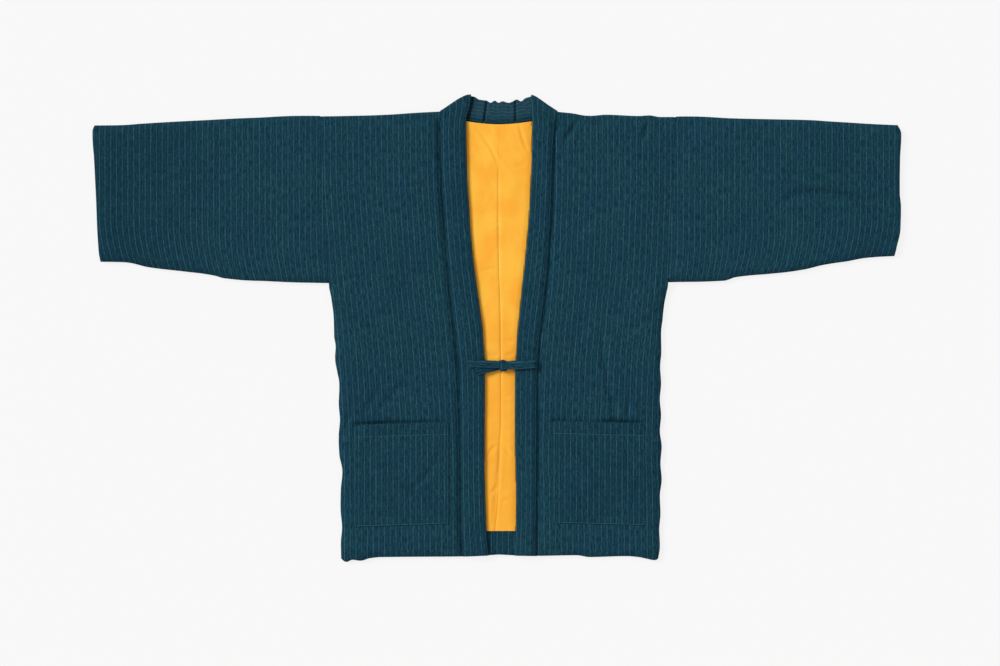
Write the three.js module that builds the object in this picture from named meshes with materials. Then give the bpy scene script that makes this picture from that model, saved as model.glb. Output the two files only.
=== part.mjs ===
// A hanten, the short padded Japanese jacket, laid out flat and face up on a surface.
// Each body half is one length of wadded cloth that runs from the front hem over the shoulder to
// the back hem. The sleeves are flattened tubes, and one doubled band makes the collar.
// Lengths are in millimetres. +X is the side at the right when the jacket is seen from above with
// its neck at the top, +Y runs from the hem to the neck, and +Z is up from the surface.
// In the tables, out is the distance from the centre back seam, and down is the distance below
// the neck point of the shoulder.
import * as THREE from "three";

// Cloth
const WALL = 6; // outer cloth and its wadding, laid flat
const GAP = 0.3; // between pieces at a seam
const LINING = 1;
const LINING_PUFF = 0.9; // how far the lining rises between its creases
const SLIT = 0.6; // between the two layers inside a sleeve
const LIP_OPEN = 3; // the slit opens by that many times more at the cuff
const LIP_TOP = 0.45; // share by which the top rounds down at the cuff
const LIP_UNDER = 0.3; // share by which the underside rounds up there
const SEAM_DIP = 2; // how far the top sinks at a sewn seam
const SOFT_EDGE = 9; // width over which a padded edge rounds off
const SEAM_WIDE = 14; // width over which the cloth sinks to a seam
const UNDER_EDGE = 6; // width over which an underside rounds up
const CROWN = 0.8; // the middle of a panel stands that much higher than its edges
const SWELL = 0.5; // uneven wadding under the front
const SWELL_FADE = 30; // the crown and the swell fade over that much towards a seam
const EDGE_SHARE = 0.42; // share of the wall's height that a free edge keeps

// Heights of the layers above the surface
const BACK_TOP = WALL;
const FRONT_UNDER = BACK_TOP + GAP;
const FRONT_TOP = FRONT_UNDER + WALL;
const LINING_UNDER = BACK_TOP + GAP;
const LINING_TOP = LINING_UNDER + LINING;
const FOLD_MIDDLE = (BACK_TOP + FRONT_UNDER) / 2;
const FOLD_RADIUS = FRONT_TOP - FOLD_MIDDLE;

// Main sizes
const BODY_LENGTH = 735; // shoulder fold to hem
const NECK_POINT = 98; // centre back to the inner end of the shoulder fold
const NECK_DROP = 18; // how far the back neckline dips
const NECK_POINT_DOWN = -3 + FOLD_RADIUS;
const NECK_CELLS = 5; // straight stretches in each half of the back neckline
const UNDERARM = 281; // shoulder to underarm
const SLEEVE_SEAM = { left: 296, right: 293 }; // centre back to the sleeve seam at the shoulder
const SLEEVE_SEAM_END = { left: 281.2, right: 279.6 }; // and at the underarm
const CUFF = 668; // centre back to the cuff
const SLEEVE_LENGTH = CUFF - SLEEVE_SEAM.left;
const SLEEVE_DEPTH = 250; // about half of the way round a sleeve
const PANEL_WIDE = 190; // about the width of a front between its seams
const FACING_DEPTH = 43; // outer cloth turned up over the lining at the back hem

// Out to the side seam, from the underarm to the hem
const sideSeam = {
  left: [
    { down: 290, out: 281.2 }, { down: 312, out: 277 }, { down: 349, out: 273.5 }, { down: 370, out: 273 },
    { down: 387, out: 270.5 }, { down: 402, out: 271.5 }, { down: 428, out: 268 },
    { down: 453, out: 264.5 }, { down: 480, out: 265.5 }, { down: 508, out: 263.5 },
    { down: 534, out: 265.5 }, { down: 565, out: 264.5 }, { down: 594, out: 259.5 },
    { down: 622, out: 262 }, { down: 654, out: 262.5 }, { down: 686, out: 260 },
    { down: 712, out: 262 }, { down: 736, out: 261.5 },
  ],
  right: [
    { down: 288, out: 279.6 }, { down: 302, out: 276.5 }, { down: 326, out: 272.5 }, { down: 342, out: 271 },
    { down: 368, out: 268.5 }, { down: 394, out: 269 }, { down: 420, out: 267 },
    { down: 447, out: 268.5 }, { down: 474, out: 266.5 }, { down: 500, out: 268.5 },
    { down: 526, out: 266.5 }, { down: 552, out: 269.5 }, { down: 580, out: 267.5 },
    { down: 606, out: 269.5 }, { down: 634, out: 266.5 }, { down: 662, out: 267.5 },
    { down: 690, out: 265.5 }, { down: 714, out: 266.5 }, { down: 736, out: 264 },
  ],
};
// Out to the seam between front and collar, and to the collar's free edge
const collarEdges = {
  left: [
    { down: 0, seam: 97.5, free: 55 }, { down: 83, seam: 96, free: 53.5 },
    { down: 150, seam: 92, free: 50 }, { down: 225, seam: 86.5, free: 44.5 },
    { down: 326, seam: 76.5, free: 31.5 }, { down: 384, seam: 70, free: 25.5 },
    { down: 441, seam: 65.5, free: 23.5 }, { down: 559, seam: 63.5, free: 24 },
    { down: 665, seam: 62.5, free: 22 }, { down: 735, seam: 60, free: 17 },
  ],
  right: [
    { down: 0, seam: 97.5, free: 55.5 }, { down: 55, seam: 92, free: 54.5 },
    { down: 137, seam: 89, free: 51.5 }, { down: 220, seam: 85, free: 45.5 },
    { down: 326, seam: 75, free: 34.5 }, { down: 400, seam: 67, free: 28.5 },
    { down: 441, seam: 65.5, free: 26.5 }, { down: 559, seam: 64.5, free: 27 },
    { down: 633, seam: 64, free: 28.5 }, { down: 735, seam: 63, free: 26 },
  ],
};
// The shoulder fold and the hem, by their distance from the centre back
const shoulderFold = {
  left: [
    { out: 98, down: -3 }, { out: 137, down: -1 }, { out: 192, down: 2.5 },
    { out: 233, down: 3.8 }, { out: 296, down: 5 },
  ],
  right: [
    { out: 98, down: -2.5 }, { out: 122, down: 0 }, { out: 152, down: 4 },
    { out: 177, down: 2.2 }, { out: 232, down: 4.3 }, { out: 249, down: 3.3 },
    { out: 267, down: 6 }, { out: 293, down: 6 },
  ],
};
const hemLine = {
  left: [
    { out: 0, down: 731 }, { out: 60, down: 734 }, { out: 188, down: 735 },
    { out: 214, down: 737 }, { out: 230, down: 741 }, { out: 243, down: 739.5 },
    { out: 252, down: 743 }, { out: 262, down: 737 },
  ],
  right: [
    { out: 0, down: 731 }, { out: 60, down: 733 }, { out: 129, down: 732 },
    { out: 150, down: 735 }, { out: 208, down: 733.5 }, { out: 226, down: 734.5 },
    { out: 246, down: 738 }, { out: 258, down: 740 }, { out: 266, down: 735 },
  ],
};
// The sleeve's upper fold and underarm seam, by their distance from the centre back
const sleeveEdges = {
  left: [
    { out: 281, top: 5, under: 281.5 }, { out: 313, top: 4, under: 281 },
    { out: 399, top: 7, under: 278 }, { out: 465, top: 10, under: 273.5 },
    { out: 482, top: 11, under: 269 }, { out: 528, top: 13.3, under: 262.5 },
    { out: 590, top: 17, under: 255 }, { out: 635, top: 19.7, under: 246.5 },
    { out: 672, top: 20, under: 246 },
  ],
  right: [
    { out: 281, top: 6, under: 280 }, { out: 311, top: 5, under: 279.5 },
    { out: 384, top: 8, under: 277.5 }, { out: 405, top: 8.6, under: 271.5 },
    { out: 461, top: 9.8, under: 266 }, { out: 517, top: 11, under: 259 },
    { out: 549, top: 13, under: 251.5 }, { out: 591, top: 15.5, under: 245 },
    { out: 627, top: 17.7, under: 239 }, { out: 668, top: 19.5, under: 236.5 },
  ],
};
// The cuff's edge, by the share of its depth from the upper corner
const cuffEdge = {
  left: [
    { share: 0, out: 670 }, { share: 0.05, out: 673 }, { share: 0.24, out: 670.5 },
    { share: 0.55, out: 667 }, { share: 0.91, out: 663 }, { share: 1, out: 660 },
  ],
  right: [
    { share: 0, out: 660.5 }, { share: 0.08, out: 666 }, { share: 0.26, out: 664 },
    { share: 0.52, out: 663.5 }, { share: 0.62, out: 665.5 }, { share: 0.75, out: 665 },
    { share: 0.93, out: 658.5 }, { share: 1, out: 655 },
  ],
};

// Collar band
const COLLAR_THICK = 7.4;
const COLLAR_FRONT_UNDER = LINING_TOP + 0.4;
const COLLAR_TURN = COLLAR_FRONT_UNDER / 2; // radius of the turn, at the band's middle
const TURN_PRESS = 0.6; // the turn is pressed flatter than a half circle
// The line along which the band turns under at the shoulder, and how far its middle gives inwards
const collarTurn = {
  left: { seamDown: -0.9, freeOut: 45.9, freeDown: -28, give: 1.8 },
  right: { seamDown: 0.6, freeOut: 52.6, freeDown: -27.5, give: 2.8 },
};
// The band's free edge behind the neck, gathered into scallops, from left (-) to right (+)
const neckEdge = [
  { x: -46, down: -28 }, { x: -33, down: -20.5 }, { x: -20, down: -19.5 },
  { x: -14, down: -16 }, { x: -7, down: -19.5 }, { x: -1, down: -16 },
  { x: 6, down: -18.5 }, { x: 15, down: -16 }, { x: 22, down: -18 },
  { x: 30, down: -21.5 }, { x: 36, down: -18.5 }, { x: 43, down: -23.5 },
  { x: 52.6, down: -27.5 },
];
// Tucks across the band behind the neck, from its free edge to its seam
const neckTucks = [
  { free: -20.3, seam: -25.5, half: 2.6, depth: 3.4 },
  { free: 27, seam: 27.6, half: 2.6, depth: 3.4 },
];

// Patch pockets: corners on the front, and the depth of the turned mouth
const POCKET_THICK = 1.4;
const POCKET_MOUTH = 19.5;
const POCKET_RIM = 3; // width over which its edges round off
const MOUTH_EXTRA = 0.6; // the turned mouth is that much thicker
const POCKET_CLEAR = 0.5; // above the front's flat faces
const pockets = {
  left: { inner: 83, outer: 240, top: 514, bottom: 682, innerRise: 2.5, outerDrop: 2.5 },
  right: { inner: 90, outer: 241, top: 511, bottom: 679, innerRise: 1, outerDrop: 3 },
};

// Front ties, tied in a bow
const TIE_THICK = 1.8;
const TIE_DOWN = 418;
const KNOT = { x: 6.2, down: 418, long: 14, wide: 18.5, low: 8.7, high: 20.2 };

const UP = new THREE.Vector3(0, 0, 1);
const NECKWARD = new THREE.Vector3(0, 1, 0);
const SIDES = [["left", -1], ["right", 1]];

const mix = (a, b, t) => a + (b - a) * t;
const clamp01 = (t) => Math.min(1, Math.max(0, t));
const smooth = (from, to, t) => {
  const s = clamp01((t - from) / (to - from));
  return s * s * (3 - 2 * s);
};

// A curve through a table's rows that never overshoots them, as a function of the key column.
function curve(rows, key, column) {
  const x = rows.map((row) => row[key]);
  const y = rows.map((row) => row[column]);
  const last = x.length - 1;
  const rise = x.slice(1).map((value, i) => (y[i + 1] - y[i]) / (value - x[i]));
  const slope = x.map((_, i) => {
    if (i === 0) return rise[0];
    if (i === last) return rise[last - 1];
    if (rise[i - 1] * rise[i] <= 0) return 0;
    return (2 * rise[i - 1] * rise[i]) / (rise[i - 1] + rise[i]);
  });
  return (at) => {
    const p = Math.min(x[last], Math.max(x[0], at));
    let i = 0;
    while (i < last - 1 && p > x[i + 1]) i += 1;
    const h = x[i + 1] - x[i];
    const t = (p - x[i]) / h;
    const a = y[i] + slope[i] * h * t;
    const b = y[i + 1] - slope[i + 1] * h * (1 - t);
    return mix(a, b, t * t * (3 - 2 * t));
  };
}

const outline = {};
for (const [side] of SIDES) {
  const below = curve(sideSeam[side], "down", "out");
  const corner = sideSeam[side][0].down;
  const armhole = (down) => mix(SLEEVE_SEAM[side], SLEEVE_SEAM_END[side], down / corner);
  outline[side] = {
    side: (down) => (down < corner ? armhole(down) : below(down)),
    seam: curve(collarEdges[side], "down", "seam"),
    free: curve(collarEdges[side], "down", "free"),
    fold: curve(shoulderFold[side], "out", "down"),
    hem: curve(hemLine[side], "out", "down"),
    sleeveTop: curve(sleeveEdges[side], "out", "top"),
    sleeveUnder: curve(sleeveEdges[side], "out", "under"),
    cuff: curve(cuffEdge[side], "share", "out"),
  };
}

// The back neckline, in short straight stretches
const neckStations = Array.from({ length: NECK_CELLS + 1 }, (_, i) => mix(GAP / 2, NECK_POINT, i / NECK_CELLS));
const neckDrops = neckStations.map((out) => mix(NECK_DROP, NECK_POINT_DOWN, (out / NECK_POINT) ** 1.8));
const neckline = (out) => {
  const at = clamp01((out - neckStations[0]) / (NECK_POINT - neckStations[0])) * NECK_CELLS;
  const cell = Math.min(NECK_CELLS - 1, Math.floor(at));
  return mix(neckDrops[cell], neckDrops[cell + 1], at - cell);
};

// Where a level of the front or back lies: out by a curve of its real distance down.
function along(edge, outAt, share, offset) {
  let out = outAt(share * BODY_LENGTH) + offset;
  for (let pass = 0; pass < 3; pass += 1) {
    out = outAt(mix(edge.fold(out) + FOLD_RADIUS, edge.hem(out), share)) + offset;
  }
  return out;
}

// How full a padded wall is at a distance from its free edge: 0 at the edge and 1 inside.
const fullness = (distance, width = SOFT_EDGE) => {
  const t = 1 - clamp01(distance / width);
  return Math.sqrt(1 - t * t);
};
// The height of a wall that is sewn down to a seam, as a share of its full height.
const sunk = (distance) => 1 - (SEAM_DIP / WALL) * (1 - fullness(distance, SEAM_WIDE));
const swell = (out, down) =>
  SWELL * (Math.sin(out / 31 + down / 120) * 0.6 + Math.sin(down / 43 - out / 90) * 0.4);

// Shares across a width: close together near both edges, then evenly spread.
function acrossShares(width, edgeSteps, inner) {
  const near = edgeSteps.map((step) => step / width);
  const from = near[near.length - 1];
  const middle = [];
  for (let i = 1; i < inner; i += 1) middle.push(mix(from, 1 - from, i / inner));
  return [...near, ...middle, ...near.map((s) => 1 - s).reverse()];
}

// A closed body from its triangles, with every face turned out.
function closedBody(points, triangles) {
  let volume = 0;
  const edge = new THREE.Vector3();
  for (const [a, b, c] of triangles) {
    volume += points[a].dot(edge.crossVectors(points[b], points[c]));
  }
  const index = triangles.flatMap(([a, b, c]) => (volume < 0 ? [a, c, b] : [a, b, c]));
  const geometry = new THREE.BufferGeometry().setFromPoints(points);
  geometry.setIndex(index);
  geometry.computeVertexNormals();
  return geometry;
}

// A closed wall over a lattice: upper and lower points for each row and column, on present cells.
function latticeWall(upper, lower, present = () => true) {
  const rows = upper.length;
  const columns = upper[0].length;
  const has = (i, j) => i >= 0 && j >= 0 && i < rows - 1 && j < columns - 1 && present(i, j);
  const points = [];
  const numbers = new Map();
  const number = (i, j, isUpper) => {
    const name = `${i} ${j} ${isUpper}`;
    if (!numbers.has(name)) {
      numbers.set(name, points.length);
      points.push((isUpper ? upper : lower)[i][j]);
    }
    return numbers.get(name);
  };
  const triangles = [];
  const quad = (a, b, c, d) => triangles.push([a, b, c], [a, c, d]);
  for (let i = 0; i < rows - 1; i += 1) {
    for (let j = 0; j < columns - 1; j += 1) {
      if (!has(i, j)) continue;
      const ring = [[i, j], [i, j + 1], [i + 1, j + 1], [i + 1, j]];
      const beyond = [[i - 1, j], [i, j + 1], [i + 1, j], [i, j - 1]];
      quad(...ring.map(([r, c]) => number(r, c, true)));
      quad(...ring.map(([r, c]) => number(r, c, false)).reverse());
      beyond.forEach(([r, c], k) => {
        if (has(r, c)) return;
        const from = ring[k];
        const to = ring[(k + 1) % 4];
        quad(
          number(...to, true), number(...from, true),
          number(...from, false), number(...to, false),
        );
      });
    }
  }
  return closedBody(points, triangles);
}

// A closed bar from rings of points, with flat ends.
function ringBar(rings) {
  const count = rings[0].length;
  const points = rings.flat();
  const triangles = [];
  for (let i = 0; i < rings.length - 1; i += 1) {
    for (let k = 0; k < count; k += 1) {
      const a = i * count + k;
      const b = i * count + ((k + 1) % count);
      triangles.push([a, b, b + count], [a, b + count, a + count]);
    }
  }
  const end = (rings.length - 1) * count;
  for (let k = 1; k < count - 1; k += 1) {
    triangles.push([0, k + 1, k], [end, end + k, end + k + 1]);
  }
  return closedBody(points, triangles);
}

// A closed tube wall from outer and inner rings, open through the middle.
function tubeWall(outer, inner) {
  const count = outer[0].length;
  const points = [...outer.flat(), ...inner.flat()];
  const shift = outer.length * count;
  const triangles = [];
  for (let i = 0; i < outer.length - 1; i += 1) {
    for (let k = 0; k < count; k += 1) {
      const a = i * count + k;
      const b = i * count + ((k + 1) % count);
      triangles.push([a, b, b + count], [a, b + count, a + count]);
      triangles.push([shift + b, shift + a, shift + a + count]);
      triangles.push([shift + b, shift + a + count, shift + b + count]);
    }
  }
  for (const [row, way] of [[0, 1], [outer.length - 1, -1]]) {
    for (let k = 0; k < count; k += 1) {
      const a = row * count + k;
      const b = row * count + ((k + 1) % count);
      const rim = [[a, a + shift, b + shift], [a, b + shift, b]];
      triangles.push(...(way > 0 ? rim : rim.map((t) => t.reverse())));
    }
  }
  return closedBody(points, triangles);
}

const place = (sign, out, down, z) => new THREE.Vector3(sign * out, -down, z);

// How far the front's top stands above the surface.
function frontTop(side, out, down) {
  const edge = outline[side];
  const sideRoom = edge.side(down) - out;
  const seamRoom = out - edge.seam(down);
  const hemRoom = edge.hem(out) - down;
  const sewn = 1 - smooth(UNDERARM - 8, UNDERARM + 14, down);
  const sideFull = mix(fullness(sideRoom), sunk(sideRoom), sewn);
  const seamFull = sunk(seamRoom);
  const hemFull = fullness(hemRoom);
  const full = mix(EDGE_SHARE, 1, sideFull * hemFull) * seamFull;
  const inside = smooth(0, SWELL_FADE, Math.min(sideRoom, seamRoom, hemRoom, down - FOLD_RADIUS));
  return FRONT_UNDER + WALL * full + (CROWN + swell(out, down)) * inside;
}

// How far the back's underside lifts off the surface where its free edge rounds up.
function backUnder(side, out, down) {
  const edge = outline[side];
  const sewn = 1 - smooth(UNDERARM - 8, UNDERARM + 14, down);
  const sideFull = mix(fullness(edge.side(down) - out, UNDER_EDGE), 1, sewn);
  const hemFull = fullness(edge.hem(out) - down, UNDER_EDGE);
  return (WALL / 2) * (1 - sideFull * hemFull);
}

// Rows down the length: closer together where the side seam puckers, and next to the hem.
function lengthShares(upper, lower) {
  const hemSteps = [12, 4, 0];
  const split = (UNDERARM + 4) / BODY_LENGTH;
  const hemShares = hemSteps.map((step) => 1 - step / BODY_LENGTH);
  const shares = [];
  for (let i = 0; i <= upper; i += 1) shares.push((split * i) / upper);
  for (let i = 1; i < lower; i += 1) shares.push(mix(split, hemShares[0], i / lower));
  return [...shares, ...hemShares];
}

// One body half: front, shoulder fold and back as one wall of cloth.
function bodyHalf(side, sign) {
  const edge = outline[side];
  const frontShares = lengthShares(8, 27);
  const backShares = lengthShares(4, 18);
  const columns = acrossShares(PANEL_WIDE, [0, 3, 9], 4);
  const turns = [1, 2, 3, 4, 5].map((i) => (Math.PI * i) / 6);
  const blank = Array.from({ length: NECK_CELLS }, () => [place(sign, 0, 0, 0), place(sign, 0, 0, 0)]);
  const upper = [];
  const lower = [];
  const addRow = (frontToBack) => {
    upper.push(frontToBack.map(([top]) => top));
    lower.push(frontToBack.map(([, under]) => under));
  };
  const seamSide = (share) => along(edge, edge.seam, share, GAP / 2);
  const sideSide = (share) => along(edge, edge.side, share, -GAP / 2);
  const foldStart = (out) => edge.fold(out) + FOLD_RADIUS;

  const frontRow = (share) => {
    const cells = [...blank];
    for (const u of columns) {
      const out = mix(seamSide(share), sideSide(share), u);
      const down = mix(foldStart(out), edge.hem(out), share);
      cells.push([
        place(sign, out, down, frontTop(side, out, down)),
        place(sign, out, down, FRONT_UNDER),
      ]);
    }
    return cells;
  };
  const foldRow = (turn) => {
    const cells = [...blank];
    for (const u of columns) {
      const out = mix(seamSide(0), sideSide(0), u);
      const middle = foldStart(out);
      const full = sunk((1 - u) * PANEL_WIDE);
      const outer = FOLD_RADIUS - WALL * (1 - full);
      const inner = GAP / 2;
      cells.push([
        place(sign, out, middle - outer * Math.sin(turn), FOLD_MIDDLE + outer * Math.cos(turn)),
        place(sign, out, middle - inner * Math.sin(turn), FOLD_MIDDLE + inner * Math.cos(turn)),
      ]);
    }
    return cells;
  };
  const backRow = (share) => {
    const cells = [];
    for (let j = 0; j < NECK_CELLS; j += 1) {
      const out = neckStations[j];
      const down = mix(neckline(out), edge.hem(out), share);
      cells.push([place(sign, out, down, backUnder(side, out, down)), place(sign, out, down, BACK_TOP)]);
    }
    for (const u of columns) {
      const inner = mix(seamSide(0), NECK_POINT, clamp01(share * 8));
      const out = mix(inner, sideSide(share), u);
      const down = mix(foldStart(out), edge.hem(out), share);
      cells.push([place(sign, out, down, backUnder(side, out, down)), place(sign, out, down, BACK_TOP)]);
    }
    return cells;
  };

  [...frontShares].reverse().forEach((share) => addRow(frontRow(share)));
  turns.forEach((turn) => addRow(foldRow(turn)));
  backShares.forEach((share) => addRow(backRow(share)));
  const backFrom = frontShares.length + turns.length;
  return latticeWall(upper, lower, (i, j) => i >= backFrom || j >= NECK_CELLS);
}

// One sleeve: a flattened tube, open at the cuff and at the armhole.
function sleeve(side, sign) {
  const edge = outline[side];
  const across = acrossShares(SLEEVE_DEPTH, [0, 2, 6, 14], 4);
  const stations = acrossShares(SLEEVE_LENGTH, [0, 3, 10], 12);
  const last = across.length - 1;
  const halfSlit = SLIT / 2;
  const around = [];
  across.forEach((share) => around.push({ share, up: 1 }));
  across.slice(1, last).reverse().forEach((share) => around.push({ share, up: -1 }));
  const outer = [];
  const inner = [];
  for (const t of stations) {
    const seamRoom = t * SLEEVE_LENGTH;
    const cuffRoom = SLEEVE_LENGTH - seamRoom;
    const seamDip = SEAM_DIP * (1 - fullness(seamRoom, SEAM_WIDE));
    const lip = 1 - fullness(cuffRoom);
    const outerRing = [];
    const innerRing = [];
    for (const { share, up } of around) {
      const startTop = edge.sleeveTop(SLEEVE_SEAM[side]);
      const startUnder = edge.sleeveUnder(SLEEVE_SEAM[side]);
      const from = edge.side(mix(startTop, startUnder, share)) + GAP / 2;
      const to = edge.cuff(share);
      const out = mix(from, to, t);
      const level = mix(SLEEVE_SEAM[side], CUFF, t);
      const top = edge.sleeveTop(level);
      const under = edge.sleeveUnder(level);
      const down = mix(top, under, share);
      const room = Math.min(share, 1 - share) * (under - top);
      const inside = smooth(0, SWELL_FADE, Math.min(room, seamRoom, cuffRoom));
      const puff = up > 0 ? (CROWN + swell(out, down)) * inside - seamDip : 0;
      const lipRise = 1 - (up > 0 ? LIP_TOP : LIP_UNDER) * lip;
      const rise = fullness(room, up > 0 ? SOFT_EDGE : UNDER_EDGE) * lipRise;
      outerRing.push(place(sign, out, down, FOLD_MIDDLE + up * (FOLD_RADIUS * rise) + puff * rise));
      const hollow = halfSlit * (room > 0 ? 1 : 0) * (1 + LIP_OPEN * lip);
      const innerFrom = edge.side(mix(startTop + WALL, startUnder - WALL, share)) + GAP / 2;
      const innerDown = mix(top + WALL, under - WALL, share);
      innerRing.push(place(sign, mix(innerFrom, to, t), innerDown, FOLD_MIDDLE + up * hollow));
    }
    outer.push(outerRing);
    inner.push(innerRing);
  }
  return tubeWall(outer, inner);
}

// The collar's section: share of its width from the seam, and share of half its thickness.
const COLLAR_SECTION = [
  { across: 0, high: 0.4 }, { across: 0.07, high: 0.78 }, { across: 0.24, high: 0.98 },
  { across: 0.5, high: 1 }, { across: 0.76, high: 0.98 }, { across: 0.93, high: 0.78 },
  { across: 1, high: 0.4 },
];

// How deep the tucks behind the neck are at a point of the band.
const tuckDip = (x, across) => neckTucks.reduce((sum, { free, seam, half, depth }) => {
  const away = Math.abs(x - mix(seam, free, across));
  return sum + depth * (1 - smooth(0, half, away));
}, 0);

// One ring of the collar, from its seam point to its free point. turn is 0 where the band lies face
// up and pi where it lies face down. outward is the way its turn bulges, straight up the page next
// to its edges, and give moves the band's middle the other way.
function collarRing(seam, free, turn, outward, give) {
  const height = COLLAR_THICK / 2 + COLLAR_TURN * (1 + Math.cos(turn));
  const at = ({ across, high }, face) => {
    const upright = Math.max(1 - smooth(0.04, 0.34, across), 0.7 * smooth(0.82, 1, across));
    const bulge = outward.clone().lerp(NECKWARD, upright).normalize();
    const reach = TURN_PRESS * Math.sin(turn);
    const point = new THREE.Vector3().lerpVectors(seam, free, across);
    point.addScaledVector(outward, -give * 4 * across * (1 - across));
    const dip = turn === Math.PI && face < 0 ? tuckDip(point.x, across) * high * high : 0;
    const half = (COLLAR_THICK / 2) * high - dip;
    point.addScaledVector(bulge, (COLLAR_TURN + face * half) * reach);
    point.z = height + face * half * Math.cos(turn);
    return point;
  };
  return [
    ...COLLAR_SECTION.map((row) => at(row, 1)),
    ...[...COLLAR_SECTION].reverse().map((row) => at(row, -1)),
  ];
}

function collar() {
  const frontSteps = 30;
  const turnSteps = 6;
  const backSteps = 44;
  const seamOut = (side, down) => outline[side].seam(Math.max(down, FOLD_RADIUS)) - GAP;
  const turnEnds = (side, sign) => {
    const turn = collarTurn[side];
    const seam = place(sign, seamOut(side, turn.seamDown), turn.seamDown, 0);
    const free = place(sign, turn.freeOut, turn.freeDown, 0);
    const outward = new THREE.Vector3().subVectors(free, seam).cross(UP).multiplyScalar(-sign).normalize();
    return { seam, free, outward, give: turn.give };
  };
  const leg = (side, sign) => {
    const edge = outline[side];
    const turn = collarTurn[side];
    const { outward, give } = turnEnds(side, sign);
    const rings = [];
    for (let i = 0; i <= frontSteps; i += 1) {
      const t = (i / frontSteps) ** 0.9;
      const late = smooth(0.94, 1, t);
      const seamDown = mix(edge.hem(edge.seam(BODY_LENGTH)), turn.seamDown, t);
      const freeDown = mix(edge.hem(edge.free(BODY_LENGTH)), turn.freeDown, t);
      const freeOut = mix(edge.free(freeDown), turn.freeOut, late);
      const seam = place(sign, seamOut(side, seamDown), seamDown, 0);
      const free = place(sign, freeOut, freeDown, 0);
      rings.push(collarRing(seam, free, 0, outward, give * late));
    }
    return rings;
  };
  const turnOver = (side, sign) => {
    const { seam, free, outward, give } = turnEnds(side, sign);
    const rings = [];
    for (let i = 1; i < turnSteps; i += 1) {
      rings.push(collarRing(seam, free, (Math.PI * i) / turnSteps, outward, give));
    }
    return rings;
  };
  const edgeDown = curve(neckEdge, "x", "down");
  const behind = [];
  for (let i = 0; i <= backSteps; i += 1) {
    const t = i / backSteps;
    const { outward, give } = t < 0.5 ? turnEnds("left", -1) : turnEnds("right", 1);
    const ends = collarTurn[t < 0.5 ? "left" : "right"].seamDown;
    const near = smooth(0.84, 1, Math.abs(2 * t - 1));
    const freeX = mix(-collarTurn.left.freeOut, collarTurn.right.freeOut, t);
    const seamX = mix(-seamOut("left", 0), seamOut("right", 0), t);
    const seamDown = mix(neckline(Math.abs(seamX)) - GAP, ends, near);
    const seam = new THREE.Vector3(seamX, -seamDown, 0);
    const free = new THREE.Vector3(freeX, -edgeDown(freeX), 0);
    behind.push(collarRing(seam, free, Math.PI, outward, give * near));
  }
  return ringBar([
    ...leg("left", -1), ...turnOver("left", -1), ...behind,
    ...turnOver("right", 1).reverse(), ...leg("right", 1).reverse(),
  ]);
}

// One half of the lining that shows in the opening, under the collar at its outer edge.
function liningHalf(side, sign) {
  const edge = outline[side];
  const rows = 22;
  const columns = 5;
  const underCollar = 4;
  const upper = [];
  const lower = [];
  for (let i = 0; i <= rows; i += 1) {
    const share = i / rows;
    const level = mix(0, BODY_LENGTH - FACING_DEPTH, share);
    const width = edge.seam(level) - underCollar;
    const line = [];
    for (let j = 0; j <= columns; j += 1) {
      const out = mix(GAP / 2, width, j / columns);
      const down = mix(neckline(out) + GAP, BODY_LENGTH - FACING_DEPTH - GAP, share);
      const open = smooth(0, 10, edge.free(down) - out) * smooth(0, 14, out);
      line.push({ out, down, puff: LINING_PUFF * open * (0.5 + 0.5 * Math.sin(down / 19 + out / 23)) });
    }
    upper.push(line.map((p) => place(sign, p.out, p.down, LINING_TOP + p.puff)));
    lower.push(line.map((p) => place(sign, p.out, p.down, LINING_UNDER)));
  }
  return latticeWall(upper, lower);
}

// The outer cloth turned up over the lining at the back hem.
function hemFacing() {
  const top = BODY_LENGTH - FACING_DEPTH;
  const bottom = BODY_LENGTH - 5;
  const upper = [];
  const lower = [];
  for (const down of [top, top + 4, mix(top, bottom, 0.6), bottom - 4, bottom]) {
    const line = [-56, -40, -24, -8, 8, 24, 40, 56];
    const edge = 0.35 * (1 - fullness(bottom - down, 5));
    upper.push(line.map((x) => new THREE.Vector3(x, -down, LINING_TOP - edge)));
    lower.push(line.map((x) => new THREE.Vector3(x, -down, LINING_UNDER)));
  }
  return latticeWall(upper, lower);
}

function pocket(side, sign) {
  const { inner, outer, top, bottom, innerRise, outerDrop } = pockets[side];
  const across = acrossShares(outer - inner, [0, POCKET_RIM], 6);
  const height = bottom - top;
  const mouth = POCKET_MOUTH / height;
  const rim = POCKET_RIM / height;
  const beside = 0.008;
  const downShares = [0, rim, mouth - beside, mouth + beside, 0.28, 0.42, 0.56, 0.7, 0.84, 1 - rim, 1];
  const upper = [];
  const lower = [];
  for (const v of downShares) {
    const line = across.map((u) => {
      const out = mix(inner, outer, u);
      const down = mix(top, bottom, v) + mix(-innerRise, outerDrop, u);
      const sideFull = fullness(Math.min(u, 1 - u) * (outer - inner), POCKET_RIM);
      const endFull = fullness(Math.min(v, 1 - v) * height, POCKET_RIM);
      const turned = v < mouth ? MOUTH_EXTRA : 0;
      const thick = mix(POCKET_THICK / 2, POCKET_THICK + turned, sideFull * endFull);
      return { out, down, base: frontTop(side, out, down) + POCKET_CLEAR, thick };
    });
    upper.push(line.map((p) => place(sign, p.out, p.down, p.base + p.thick)));
    lower.push(line.map((p) => place(sign, p.out, p.down, p.base)));
  }
  return latticeWall(upper, lower);
}

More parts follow.
